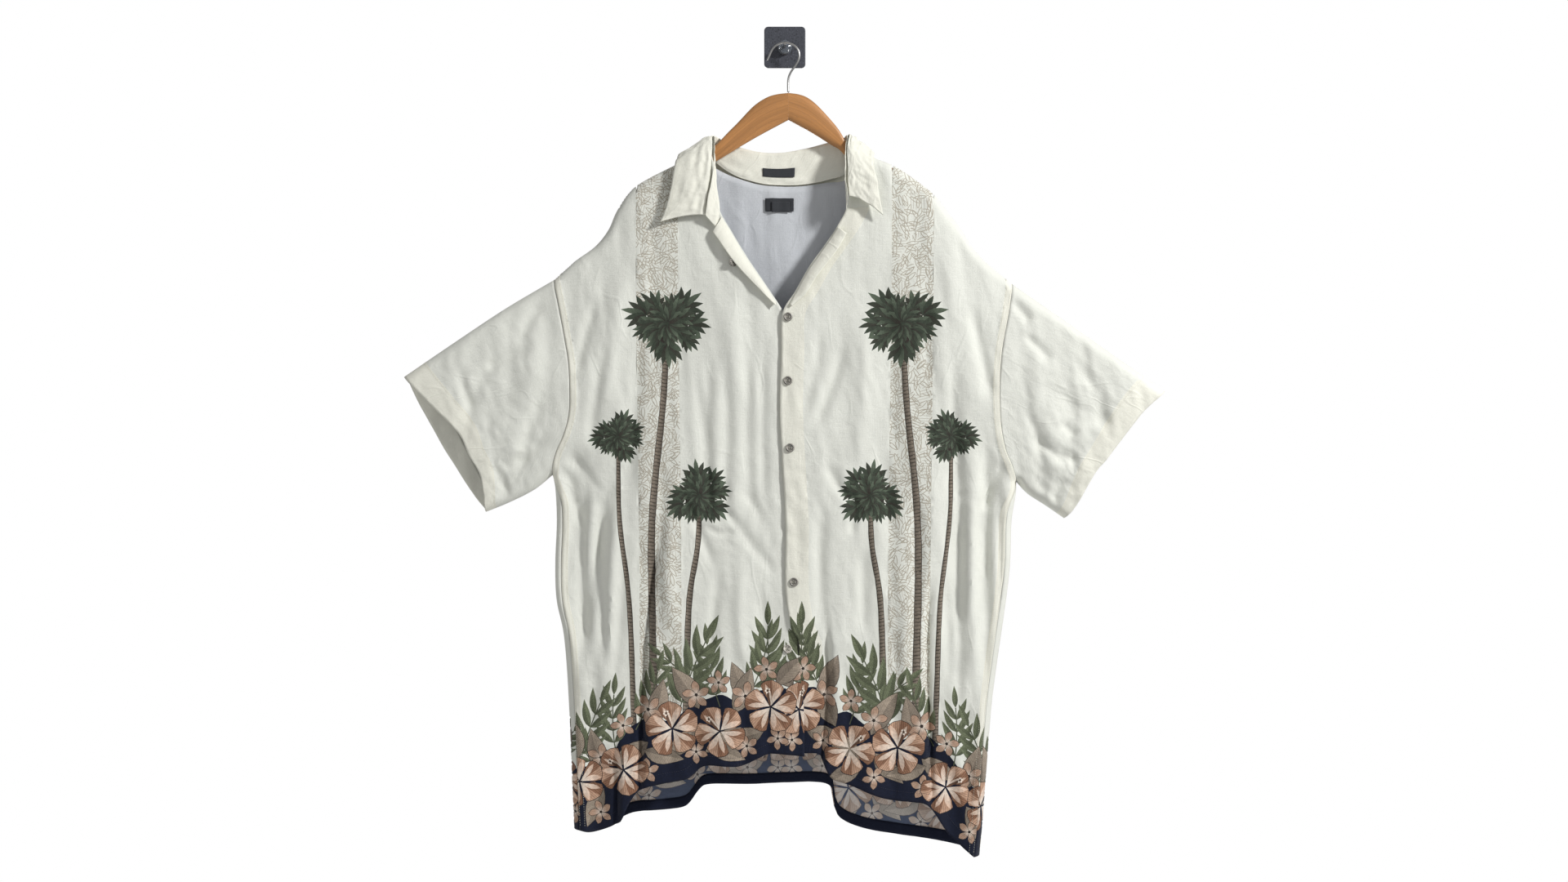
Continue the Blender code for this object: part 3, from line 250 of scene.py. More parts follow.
# Crumpled cloth: x, z, radius and strength
CRUMPLED = [(-95, -690, 70, 2.4), (-30, -690, 50, 1.6), (-440, -520, 90, 1.8), (-390, -640, 60, 2.6),
            (400, -620, 70, 2.4), (430, -520, 80, 1.6), (60, -640, 60, 1.4), (-280, -640, 50, 1.5),
            (285, -660, 50, 1.5), (-250, -980, 90, 1.2), (240, -1020, 90, 1.2)]

# The collar, from the wearer's right point round the neck to the left one: neck, roll and edge
NECK, ROLL, EDGE = np.reshape([-97, -46, -269, -114, -52, -250, -178, -54, -260,
    -93, -45, -241, -112, -52, -229, -171, -53, -243, -97, -43, -210, -108, -51, -205, -164, -52, -217,
    -100, -41, -180, -105, -48, -175, -158, -47, -181, -106, -37, -156, -104, -39, -146, -155, -36, -165,
    -108, -27, -147, -104, -30, -133, -151, -24, -159, -105, -17, -153, -97, -16, -134, -147, -12, -164,
    -101, -14, -168, -86, -12, -139, -137, -6, -176, -72, -13, -188, -66, -8, -146, -96, -4, -210,
    -37, -13, -199, -37, -7, -153, -55, -3.5, -223, -7, -13, -202, -5, -7, -154, -7, -3.5, -228,
    28, -13, -201, 30, -7, -148, 40, -3.5, -223, 64, -13, -194, 54, -8, -142, 82, -4, -210,
    89, -14, -184, 76, -10, -136, 117, -6, -176, 95, -15, -155, 87, -12, -133, 126, -9, -163,
    98, -27, -147, 93, -30, -131, 129, -24, -157, 97, -37, -155, 91, -39, -142, 128, -35, -164,
    94, -41, -180, 89, -46, -158, 128, -47, -181, 92, -43, -204, 90, -50, -181, 132, -52, -200,
    90, -45, -222, 90, -52, -202, 135, -53, -223,
    88, -46, -243, 92, -53, -223, 140, -54, -250], (-1, 3, 3)).transpose(1, 0, 2)

# The facings turned out along the open neck, from its foot up: the fold's x and z, the free edge
LAPEL = {
    RIGHT: [(-10, -375, -13, -51, -379), (-25, -352, -36, -53, -356), (-54, -309, -70, -54, -320),
        (-77, -271, -96, -53, -284), (-88, -252, -103, -50, -274)],
    LEFT: [(5, -376, 9, -51, -380), (15, -358, 29, -53, -363), (34, -324, 45, -53, -338),
        (57, -292, 75, -52, -299), (74, -266, 88, -50, -276)],
}

# Hanger arms: x, top, bottom and half thickness, from the mitre outwards
HANGER = {
    RIGHT: [(4.8, -71, -110, 6.5), (-12, -73, -119, 6.5), (-27, -78, -127, 6.5), (-45, -90, -137, 6.3),
        (-67, -113, -150, 6), (-80, -126, -158, 6), (-109, -154, -175, 5.6), (-145, -171, -191, 5.6),
        (-180, -189, -206, 5.4), (-202, -202, -219, 5), (-213, -211, -224, 4), (-218, -216, -223, 2)],
    LEFT: [(5.2, -71, -110, 6.5), (20, -73, -118, 6.5), (33, -78, -125, 6.5), (48, -90, -134, 6.3),
        (69, -113, -147, 6), (79, -126, -153, 6), (98, -154, -171, 5.6), (131, -168, -188, 5.6),
        (165, -184, -202, 5.4), (190, -202, -219, 5), (206, -216, -230, 4), (211, -221, -229, 2)],
}
WIRE = line(5, -70.6, 4.6, -58, 5.2, -46, 12.6, -35, 20, -25, 22, -14, 18, -5, 9, 1, 0, 2.5, -9, 0.5, -17, -5,
            -21, -14, -25, -24)

# Buttons: x, z and the front that each lies on
BUTTONS = {"button_1": (4.5, -395, LEFT), "button_2": (4.5, -486, LEFT), "button_3": (7.5, -582, LEFT),
           "button_5": (13, -773, LEFT), "button_6": (4, -868, RIGHT), "button_collar": None}
COLLAR_BUTTON = (-73.2, -52.1, -317)
COLLAR_BUTTON_TURN = (math.radians(-90), 0, math.radians(29.4))


# Curves ---------------------------------------------------------------------------------------
def smooth(rows, steps=8):
    """A Catmull-Rom line through the rows of a table."""
    rows = np.array(rows, float)
    ends = np.vstack([2 * rows[0] - rows[1], rows, 2 * rows[-1] - rows[-2]])
    made = [0.5 * (2 * b + (c - a) * t + (2 * a - 5 * b + 4 * c - d) * t * t + (3 * b - a - 3 * c + d) * t ** 3)
            for a, b, c, d in zip(ends, ends[1:], ends[2:], ends[3:]) for t in np.arange(steps) / steps]
    return np.array(made + [rows[-1]])


def unit(vectors):
    return vectors / np.linalg.norm(vectors, axis=-1)[..., None]


def run_of(points):
    """The distance along a line at each of its points."""
    return np.concatenate([[0], np.cumsum(np.linalg.norm(np.diff(points, axis=0), axis=1))])


def sampled(points, run, places):
    return np.stack([np.interp(places, run, column) for column in np.transpose(points)], -1)


def at_share(rows, share):
    """Points at shares of a smooth line's length."""
    points = smooth(rows)
    run = run_of(points)
    return sampled(points, run, np.asarray(share) * run[-1])


def at_station(rows, station):
    """Points at fractional row numbers of a smooth line."""
    points = smooth(rows)
    return sampled(points, np.linspace(0, len(rows) - 1, len(points)), station)


def x_at_height(rows, height):
    x, z = smooth(rows).T
    return np.interp(-height, -z, x)


def height_at_x(rows, x):
    points = smooth(rows)
    order = np.argsort(points[:, 0])
    return np.interp(x, points[order, 0], points[order, 1])


def extended(points, start, end):
    """A line made longer at its ends, along its own direction."""
    return np.vstack([points[0] + unit(points[0] - points[1]) * start, points,
                      points[-1] + unit(points[-1] - points[-2]) * end])


def nearest(points, polyline):
    """Distance to a polyline, the share along it and the side (+1 towards +X)."""
    a, run = polyline[:-1], np.diff(polyline, axis=0)
    to = points[..., None, :] - a
    t = np.clip((to * run).sum(-1) / (run * run).sum(-1), 0, 1)
    off = to - t[..., None] * run
    gap = np.linalg.norm(off, axis=-1)
    best = gap.argmin(-1)[..., None]
    pick = lambda values: np.take_along_axis(values, best, -1)[..., 0]
    return pick(gap), (best[..., 0] + pick(t)) / len(a), np.sign(pick(off[..., 0]))


def ease(value, low, high):
    t = np.clip((np.asarray(value, float) - low) / (high - low), 0, 1)
    return t * t * (3 - 2 * t)


def rounding(distance, reach):
    return np.sqrt(1 - (1 - np.clip(distance / reach, 0, 1)) ** 2)


# The two sheets -------------------------------------------------------------------------------
SIDES, SHEETS = (RIGHT, LEFT), (FRONT, BACK)
TOP_LINE = extended(np.vstack([
    smooth(SLEEVE_TOP[RIGHT])[::-1], smooth(SHOULDER[RIGHT])[::-1][1:], [(-4, -90)],
    smooth(SHOULDER[LEFT]), smooth(SLEEVE_TOP[LEFT])[1:]]), 60, 60)
LOW_LINES = [extended(np.vstack([smooth(SLEEVE_FOOT[side])[::-1], smooth(SIDE[side])[1:]]), 60, 90) for side in SIDES]
DEPTH_AT = dict(zip(("height", "side", FRONT, BACK), np.array(DEPTHS, float)[::-1].T))


def fold_lines(*tables):
    """The tables' folds by sheet: whether it is a lap, its line, depth and width."""
    return {sheet: [(table is LAPS, smooth(np.reshape(row[:6], (3, 2))), *row[6:])
                    for table in tables for row in table[sheet]] for sheet in SHEETS}


MAIN_FOLDS, FINE_FOLDS = fold_lines(LAPS, CREASES), fold_lines(FINE_CREASES)


def swell(distance):
    return FOLD_SHARE * rounding(distance, FOLD) + (1 - FOLD_SHARE) * rounding(distance, SWELL)


def value_noise(x, z, across, along, seed):
    """Smooth random relief between -1 and 1, with cells of the given size."""
    table = np.random.default_rng(seed).uniform(-1, 1, (NOISE_CELLS, NOISE_CELLS))
    u, v = x / across + 500, z / along + 500
    i, j = np.floor(u).astype(int), np.floor(v).astype(int)
    s, t = ease(u - i, 0, 1), ease(v - j, 0, 1)
    pick = lambda a, b: table[a % NOISE_CELLS, b % NOISE_CELLS]
    return ((pick(i, j) * (1 - s) + pick(i + 1, j) * s) * (1 - t)
            + (pick(i, j + 1) * (1 - s) + pick(i + 1, j + 1) * s) * t)


def fold_relief(plane, folds):
    """How far folds move a sheet outwards."""
    out = np.zeros(len(plane))
    for lap, course, depth, width in folds:
        reach = (8 if lap else 3) * width
        near = np.flatnonzero(((plane > course.min(0) - reach) & (plane < course.max(0) + reach)).all(1))
        if not len(near):
            continue
        gap, share, side = nearest(plane[near], course)
        fade = ease(share, 0, 0.3) * ease(1 - share, 0, 0.2)
        if lap:
            step = np.tanh(side * gap / (0.4 * width)) * np.exp(-(gap / (4 * width)) ** 2)
            out[near] += 0.5 * depth * step * fade
        else:
            out[near] -= depth * np.exp(-(gap / width) ** 2) * fade
    return out


def fine_relief(plane, sheet):
    """Hanging waves, and small dents that are deeper in the crumpled patches."""
    x, z = plane.T
    seed = 11 if sheet == FRONT else 37
    waves = value_noise(x, z, 17, 90, seed) + 0.5 * value_noise(x + z * 0.15, z, 9, 46, seed + 1)
    dents = value_noise(x + 0.4 * z, z, 9, 13, seed + 2) + 0.6 * value_noise(x - 0.5 * z, z, 5.5, 8, seed + 3)
    strength = 1 + sum((most * np.exp(-((x - at_x) ** 2 + (z - at_z) ** 2) / radius ** 2)
                        for at_x, at_z, radius, most in CRUMPLED), np.zeros(len(x)))
    return HANG_RELIEF * waves + CRUMPLE_RELIEF * strength * dents


def sheet_depth(plane, sheet):
    sleeve = ease(np.abs(plane[:, 0]), SLEEVE_FROM, SLEEVE_TO)
    side, full = (np.interp(plane[:, 1], DEPTH_AT["height"], DEPTH_AT[name]) * (1 - sleeve) + CUFF_DEPTH[name] * sleeve
                  for name in ("side", sheet))
    gaps = [nearest(plane, border)[0] for border in (TOP_LINE, *LOW_LINES)]
    share = swell(gaps[0]) * swell(gaps[1]) * swell(gaps[2])
    close = np.minimum.reduce(gaps)
    relief = ease(close, 2, FOLD_CLEAR) * fold_relief(plane, MAIN_FOLDS[sheet])
    relief += ease(close, 2, CREASE_CLEAR) * fold_relief(plane, FINE_FOLDS[sheet])
    relief += ease(close, 1, 16) * fine_relief(plane, sheet)
    return side + (full - side) * share + (-relief if sheet == FRONT else relief)


def depth(x, z, sheet):
    """The outer surface's y on the front or back sheet."""
    x, z = np.broadcast_arrays(np.asarray(x, float), np.asarray(z, float))
    plane = np.stack([x.ravel(), z.ravel()], -1)
    parts = [sheet_depth(plane[i:i + CHUNK], sheet) for i in range(0, len(plane), CHUNK)]
    return np.concatenate(parts).reshape(x.shape)


def layer_shift(x, z, side):
    """Moves the two fronts apart where one lies on the other; they change order low down."""
    near = 1 - ease(np.abs(x - x_at_height(FRONT_EDGE[side], z)), 42, 90)
    order = np.tanh((z - SWAP_HEIGHT) / 9.0) * ease(-z, 340, 384)
    return INWARD[side] * LAYER * near * order


def front_y(x, z, side):
    return depth(x, z, FRONT) + layer_shift(x, z, side)


def side_seam(side, z):
    """The side seam's distance in front of the side fold; none at the underarm."""
    underarm = -SIDE[side][0][1]
    return SIDE_WRAP * ease(-z, underarm, underarm + 45)


def side_height(side, down):
    """The height of a panel's row at its outer edge: along the armhole, then along the side."""
    return np.interp(down, [0, ARM_SHARE, 1], [SHOULDER[side][-1][1], SIDE[side][0][1], SIDE[side][-1][1]])


def clearance(side, z):
    """How far a panel stays off its seam; a little more where four pieces meet at the underarm."""
    return 0.5 * GAP + 0.3 * np.exp(-((z - SIDE[side][0][1]) / 8.0) ** 2)


# Panels as flat patterns, in x and z; what turns over a ridge or a side fold is opened out past it ----
def outer_edge(side, z, behind=False):
    """A front's outer edge: the armhole, then the side seam."""
    arm = ARMHOLE[side, FRONT]
    arm_x = np.where(behind, x_at_height(ARMHOLE[side, BACK], z), x_at_height(arm, z))
    seam = x_at_height(SIDE[side], z) + INWARD[side] * side_seam(side, z)
    return np.where(z > arm[-1][1], arm_x, seam) + INWARD[side] * clearance(side, z)


def front_pattern(side, across, down):
    """A front panel: across from its free edge, down from the shoulder ridge."""
    across, down = np.meshgrid(across, down)
    behind, down = down < 0, np.abs(down)
    inner, outer, rows = FRONT_EDGE[side], ARMHOLE[side, FRONT], HEM[side, FRONT]
    blend = lambda a, b, share: a + (b - a) * share
    inner_z, outer_z = blend(inner[0][1], inner[-1][1], down), side_height(side, down)
    inner_x = x_at_height(inner, inner_z)
    x = blend(inner_x, outer_edge(side, outer_z, behind), across)
    top_x = blend(inner[0][0], outer[0][0], across)
    top = height_at_x(SHOULDER[side], top_x) - blend(inner[0][1], outer[0][1], across)
    hem = height_at_x(rows, blend(rows[0][0], rows[-1][0], across)) - blend(rows[0][1], rows[-1][1], across)
    z = blend(inner_z, outer_z, across) + top * np.clip(1 - down / 0.3, 0, 1) + hem * ease(down, 0.72, 1)
    return np.stack([x, np.where(behind, 2 * height_at_x(SHOULDER[side], x) - z, z)], -1)


def front_surface(side, plane):
    """Lifts a front's pattern onto the sheets."""
    x, z = plane[..., 0], plane[..., 1]
    ridge = height_at_x(SHOULDER[side], x)
    behind = z > ridge
    z = np.where(behind, 2 * ridge - z, z)
    y = np.where(behind, depth(x, z, BACK), depth(x, z, FRONT)) + layer_shift(x, z, side)
    band = 1 - ease(np.abs(x - outer_edge(side, z)), SEAM_BAND - 0.2, SEAM_BAND + 0.6)
    return np.stack([x, y - SEAM_RAISE * band * ~behind, z], -1)


def back_top(x):
    """The ridge over the back panel: the shoulders, and between them the neckline."""
    seam = np.where(x < 0, height_at_x(SHOULDER[RIGHT], x), height_at_x(SHOULDER[LEFT], x))
    inside = (x > BACK_NECK[0][0]) & (x < BACK_NECK[-1][0])
    return np.where(inside, height_at_x(BACK_NECK, x), seam)


def back_pattern(across, down):
    """The back from side seam to side seam, a row for each share down."""
    ends, wraps, heights = {}, {}, {}
    for side in SIDES:
        arm, z = ARMHOLE[side, BACK], side_height(side, down)
        above, off = z >= arm[-1][1] - 1e-6, clearance(side, z)
        wraps[side] = np.where(above, 0, np.maximum(side_seam(side, z) - off, 0))[:, None]
        ends[side] = np.where(above, x_at_height(arm, z), x_at_height(SIDE[side], z))[:, None]
        ends[side] = ends[side] + INWARD[side] * np.where(wraps[side] > 0, 0, off[:, None])
        heights[side] = z[:, None]
    edge = np.tile(EDGE_STEPS, (len(down), 1))
    width = ends[LEFT] - ends[RIGHT]
    middle = edge[0, -1] + (width - 2 * edge[0, -1]) * across
    run = np.concatenate([-wraps[RIGHT] * np.array(WRAP_STEPS), edge, middle[:, 1:-1], width - edge[:, ::-1],
                          width + wraps[LEFT] * np.array(WRAP_STEPS[::-1])], 1)
    level = np.clip(run / width, 0, 1)
    blend = lambda a, b: a * (1 - level) + b * level
    top = back_top(blend(ARMHOLE[RIGHT, BACK][0][0], ARMHOLE[LEFT, BACK][0][0]))
    top = top - side_height(RIGHT, 0) * (1 - level) - side_height(LEFT, 0) * level
    hem = height_at_x(HEM[BACK], blend(HEM[BACK][0][0], HEM[BACK][-1][0]))
    hem = hem - HEM[BACK][0][1] * (1 - level) - HEM[BACK][-1][1] * level
    z = blend(heights[RIGHT], heights[LEFT]) + top * np.clip(1 - down / 0.3, 0, 1)[:, None]
    return np.stack([ends[RIGHT] + run, z + hem * ease(down, 0.72, 1)[:, None]], -1)


def back_surface(plane):
    """Lifts the back's pattern onto the back sheet, and its two edges round onto the front."""
    x, z = plane[..., 0], plane[..., 1]
    right, left = (np.where(z < SIDE[side][0][1], x_at_height(SIDE[side], z), -1e3 * INWARD[side]) for side in SIDES)
    turned_in = (x < right) | (x > left)
    x = np.where(x < right, 2 * right - x, np.where(x > left, 2 * left - x, x))
    return np.stack([x, np.where(turned_in, depth(x, z, FRONT), depth(x, z, BACK)), z], -1)


def sleeve_half(side, sheet, along, up):
    """One sheet of a sleeve: along from the armhole, and up from the underarm fold."""
    arm = ARMHOLE[side, sheet]
    heights = arm[0][1] + (arm[-1][1] - arm[0][1]) * (1 - up)
    root = np.stack([x_at_height(arm, heights), heights], -1)
    end = at_share(CUFF_EDGE[side, sheet], up)
    foot, top = at_share(SLEEVE_FOOT[side], along), at_share(SLEEVE_TOP[side], along)
    t, up = along[:, None, None], np.clip(up, 0, 1)[None, :, None]
    plane = root * (1 - t) + end * t
    plane = plane + (1 - up) * (foot[:, None] - plane[:, :1]) + up * (top[:, None] - plane[:, -1:])
    x, z = plane[..., 0], plane[..., 1]
    return np.stack([x, depth(x, z, sheet), z], -1)


def sleeve_points(side, along, up):
    front, back = (sleeve_half(side, sheet, along, up) for sheet in SHEETS)
    return np.concatenate([front, back[:, -2:0:-1]], 1)


def stand_points(station, up):
    """The collar stand's neck-side surface."""
    neck, roll = at_station(NECK, station), at_station(ROLL, station)
    run = at_station(ROLL, station + 0.2) - at_station(ROLL, station - 0.2)
    inward = unit(np.stack([run[:, 1], -run[:, 0], 0 * run[:, 0]], -1))
    top = roll + inward * ROLL_IN - unit(roll - neck) * ROLL_DROP
    up = np.asarray(up)[:, None, None]
    return neck * (1 - up) + top * up


def fall_points(station, out):
    """The collar fall's outer surface, from the roll to its edge."""
    neck, roll, edge = (at_station(rows, station) for rows in (NECK, ROLL, EDGE))
    bow = roll + 0.3 * (edge - roll) + FALL_LIFT * unit(roll - neck)
    out = np.asarray(out)[:, None, None]
    return roll * (1 - out) ** 2 + 2 * bow * out * (1 - out) + edge * out ** 2


def lapel_points(side, station, out):
    rows = at_station(LAPEL[side], station)
    x, z, free = rows[:, 0] - INWARD[side] * LAPEL_BITE, rows[:, 1], rows[:, 2:]
    start = np.stack([x, front_y(x, z, side) - FACING, z], -1)
    out = np.asarray(out)[:, None, None]
    return start * (1 - out) + free * out + np.array([0, -2.0, 0]) * np.sin(math.pi * out)


# Meshes ---------------------------------------------------------------------------------------
Shape = namedtuple("Shape", "points ink tip origin way along across strength zone",
                   defaults=(None, None, (0, 0), (1, 0), 0.0, 0.0, 0.0, None))
CREAM, STRIP = 1, 2     # zones of the cloth under the print


def clipped(ring, low, high):
    """A ring of points cut to a box."""
    for axis in (0, 1):
        for bound, sign in ((low[axis], 1), (high[axis], -1)):
            kept = []
            for a, b in zip(ring, [*ring[1:], ring[0]] if len(ring) else []):
                in_a, in_b = sign * (a[axis] - bound) >= 0, sign * (b[axis] - bound) >= 0
                if in_a:
                    kept.append(a)
                if in_a != in_b:
                    kept.append(a + (b - a) * ((bound - a[axis]) / (b[axis] - a[axis])))
            ring = kept
    return ring


def area_of(ring):
    x, z = np.asarray(ring).T
    return 0.5 * float(np.sum(x * np.roll(z, -1) - z * np.roll(x, -1)))


def quads(grid):
    """A grid's cells, each with the values of its four corners."""
    cells = np.stack([grid[:-1, :-1], grid[:-1, 1:], grid[1:, 1:], grid[1:, :-1]], 2)
    return cells.reshape(-1, 4, *grid.shape[2:])


def triangles(points, edges, rims, near=1e-4):
    """Points and triangles inside the first of the rims and in no other, along the given edges."""
    made, _, faces, _, _, parents = delaunay_2d_cdt([Vector(p) for p in points], edges, rims, 1, near, True)
    return np.array(made), [face for face, parent in zip(faces, parents) if list(parent) == [0]]


def without_slivers(points, cells):
    """Drops the flat cells on a tile's rim, so that tiles meet point to point."""
    while True:
        a, b, c = (points[cells[:, k]] for k in range(3))
        twice = np.abs((b - a)[:, 0] * (c - a)[:, 1] - (b - a)[:, 1] * (c - a)[:, 0])
        flat = twice < FLAT * np.maximum.reduce([np.linalg.norm(p - q, axis=1) for p, q in ((a, b), (b, c), (c, a))])
        edges = np.sort(np.concatenate([cells[:, [0, 1]], cells[:, [1, 2]], cells[:, [2, 0]]]), 1)
        _, place, count = np.unique(edges, axis=0, return_inverse=True, return_counts=True)
        drop = flat & (count[place.ravel()] == 1).reshape(3, -1).any(0)
        if not drop.any():
            return cells
        cells = cells[~drop]


def inside_ring(places, ring):
    """Which places a ring of points goes round."""
    (x, z), a, b = places.T[..., None], ring, np.roll(ring, -1, 0)
    rise = b[:, 1] - a[:, 1]
    at = a[:, 0] + (z - a[:, 1]) * (b[:, 0] - a[:, 0]) / np.where(rise == 0, 1, rise)
    return (((a[:, 1] > z) != (b[:, 1] > z)) & (x < at)).sum(1) % 2 == 1


def looks_at(places, shapes, rings):
    """What shows at each place: the number of the top ink, or -1, and whether the cloth's zones are there."""
    looks = np.tile((-1, 0, 0), (len(places), 1))
    for number, ring in rings.items():
        within = inside_ring(places, ring)
        if shapes[number].ink is not None:
            looks[within, 0] = number
        if shapes[number].zone is not None:
            looks[within, shapes[number].zone] = 1
    return looks


def cut_tile(patch, shapes, numbers):
    """Triangles of one tile, cut along the outlines that show on it."""
    rows, columns = patch.shape[:2]
    low, high = patch.min((0, 1)), patch.max((0, 1))
    index = np.arange(rows * columns).reshape(rows, columns)
    rim = np.concatenate([index[0, :-1], index[:-1, -1], index[-1, :0:-1], index[:0:-1, 0]])
    grid, middle = patch.reshape(-1, 2), (low + high) / 2
    rims = [(rim if area_of(grid[rim]) > 0 else rim[::-1]).tolist()]
    corners, edges, rings = list(grid), [], {}
    for number in numbers:
        ring = clipped(list(shapes[number].points), low - 2, high + 2)
        if len(ring) < 3 or abs(area_of(ring)) < 0.02:
            continue
        loop = range(len(corners), len(corners) + len(ring))
        edges += list(zip(loop, [*loop[1:], loop[0]]))
        corners += ring
        rings[number] = np.array(ring)
    points, cells = triangles(np.array(corners) - middle, edges, rims)
    beside = {}
    for cell, look in zip(cells, map(tuple, looks_at(points[np.array(cells)].mean(1) + middle, shapes, rings))):
        for a, b in zip(cell, (*cell[1:], cell[0])):
            beside.setdefault((min(a, b), max(a, b)), set()).add(look)
    seen = [edge for edge, sides in beside.items() if len(sides) > 1]
    used = sorted({k for edge in seen for k in edge})
    number = {k: rows * columns + n for n, k in enumerate(used)}
    flat = np.vstack([grid - middle, points[used].reshape(-1, 2)])
    final, kept = triangles(flat, [(number[a], number[b]) for a, b in seen], rims)
    kept = without_slivers(final, np.array(kept))
    return final + middle, kept.tolist(), looks_at(final[kept].mean(1) + middle, shapes, rings)


def cut_print(grid, shapes):
    """A grid of pattern points as faces with the print's outlines cut into them, and how each face looks."""
    boxes = np.array([[*np.min(s.points, 0), *np.max(s.points, 0)] for s in shapes]).reshape(-1, 4)
    points, faces, looks, count = [], [], [], 0
    for i in range(0, len(grid) - 1, TILE):
        for j in range(0, grid.shape[1] - 1, TILE):
            patch = grid[i:i + TILE + 1, j:j + TILE + 1]
            low, high = patch.min((0, 1)), patch.max((0, 1))
            meets = np.flatnonzero(((boxes[:, :2] <= high + 0.01) & (boxes[:, 2:] >= low - 0.01)).all(1))
            if len(meets):
                made, cells, seen = cut_tile(patch, shapes, meets)
            else:
                made = patch.reshape(-1, 2)
                cells = quads(np.arange(len(made)).reshape(patch.shape[:2]))
                if sum(area_of(made[cell]) for cell in cells) < 0:
                    cells = cells[:, ::-1]
                seen = looks_at(cells, shapes, {})
            faces += [[k + count for k in cell] for cell in cells]
            points.append(made)
            looks.append(seen)
            count += len(made)
    return np.vstack(points), faces, np.vstack(looks)


def add_attribute(mesh, name, domain, values):
    """Stores places or colours on a mesh, by their count of numbers."""
    kind, field = ("FLOAT_VECTOR", "vector") if values.shape[1] == 3 else ("FLOAT_COLOR", "color")
    made = mesh.attributes.new(name, kind, domain)
    made.data.foreach_set(field, values.astype(np.float32).ravel())


def print_attributes(mesh, plane, faces, looks, shapes):
    """Stores at each face corner its ink, the place on its motif's line pattern and its zones."""
    blank = Shape(None, (0, 0, 0), (0, 0, 0))
    table = [s._replace(tip=s.ink if s.tip is None else s.tip) if s.ink is not None else blank
             for s in shapes] + [blank]
    corner = np.concatenate([np.asarray(face) for face in faces])
    looks = np.repeat(looks, [len(face) for face in faces], 0)
    which = looks[:, 0]
    take = lambda field: np.array([getattr(s, field) for s in table], float)[which]
    off, way = plane[corner] - take("origin"), take("way")
    length = np.linalg.norm(way, axis=1)[:, None]
    way = way / length
    run, side = (off * way).sum(1), off[:, 1] * way[:, 0] - off[:, 0] * way[:, 1]
    share = np.clip(run[:, None] / length, 0, 1)
    ink, tip = take("ink"), take("tip")
    add_attribute(mesh, "print", "CORNER", np.concatenate([ink + (tip - ink) * share, (which >= 0)[:, None]], 1))
    add_attribute(mesh, "lines", "CORNER", np.stack([run * take("along") + side * take("across"), share[:, 0],
                                                     take("strength")], -1))
    add_attribute(mesh, "zone", "CORNER", np.pad(looks[:, 1:].astype(float), ((0, 0), (0, 2))) + (0, 0, 0, 1))


def add_object(name, data):
    made = bpy.data.objects.new(name, data)
    bpy.context.scene.collection.objects.link(made)
    return made


def add_piece(name, mesh, materials, angle=50):
    mesh.shade_smooth()
    mesh.set_sharp_from_angle(angle=math.radians(angle))
    for material in materials:
        mesh.materials.append(material)
    return add_object(name, mesh)


def mesh_of(name, points, faces):
    """A mesh from points in millimetres."""
    mesh = bpy.data.meshes.new(name)
    mesh.from_pydata((points * MM).tolist(), [], faces)
    return mesh


def written(edit, mesh):
    """Ends the editing of a mesh."""
    edit.to_mesh(mesh)
    edit.free()
    return mesh


def editing(mesh):
    edit = bmesh.new()
    edit.from_mesh(mesh)
    return edit


def read(values, field, kind, width=1):
    found = np.zeros(len(values) * width, kind)
    values.foreach_get(field, found)
    return found


def set_uv(mesh, name, values):
    mesh.uv_layers.new(name=name).data.foreach_set("uv", values.astype(np.float32).ravel())


def thicken(name, mesh, thickness, materials):
    """A closed shell under a surface; its inner side takes the last material."""
    piece = add_piece("surface", mesh, materials)
    solid = piece.modifiers.new("Thickness", "SOLIDIFY")
    solid.thickness, solid.offset = thickness, -1
    solid.material_offset, solid.material_offset_rim = len(materials) - 1, 0
    view = bpy.context.evaluated_depsgraph_get()
    shell = bpy.data.meshes.new_from_object(piece.evaluated_get(view), depsgraph=view)
    bpy.data.objects.remove(piece, do_unlink=True)
    shell.name = name
    cloth = read(shell.uv_layers["Cloth"].data, "uv", np.float32, 2).reshape(-1, 2)
    baked = (cloth - cloth.min(0)) / np.ptp(cloth, axis=0) * (0.48, 0.98) + (0.005, 0.01)
    inner, sides = (read(shell.polygons, field, int) for field in ("material_index", "loop_total"))
    baked[np.repeat(inner > 0, sides), 0] += 0.5
    set_uv(shell, "OFBake", baked)
    return add_object(name, shell)


def weld(mesh):
    edit = editing(mesh)
    bmesh.ops.remove_doubles(edit, verts=edit.verts, dist=WELD * MM)
    bmesh.ops.dissolve_degenerate(edit, edges=edit.edges, dist=0.1 * WELD * MM)
    bmesh.ops.holes_fill(edit, edges=[edge for edge in edit.edges if edge.is_boundary], sides=4)
    written(edit, mesh)


def printed_panel(name, grid, surface, shapes, flip, thickness, materials):
    """A panel from a flat pattern, with its print, lifted onto its surface."""
    plane, faces, looks = cut_print(grid, shapes)
    if flip:
        faces = [cell[::-1] for cell in faces]
    mesh = mesh_of(name, surface(plane), faces)
    print_attributes(mesh, plane, faces, looks, shapes)
    set_uv(mesh, "Cloth", plane[np.concatenate([np.asarray(face) for face in faces])] * MM)
    weld(mesh)
    return thicken(name, mesh, thickness, materials)


def grid_normals(points, ring):
    across = (np.roll(points, -1, 1) - np.roll(points, 1, 1)) if ring else np.gradient(points, axis=1)
    normal = np.cross(across, np.gradient(points, axis=0))
    return normal / np.maximum(np.linalg.norm(normal, axis=-1), 1e-9)[..., None]


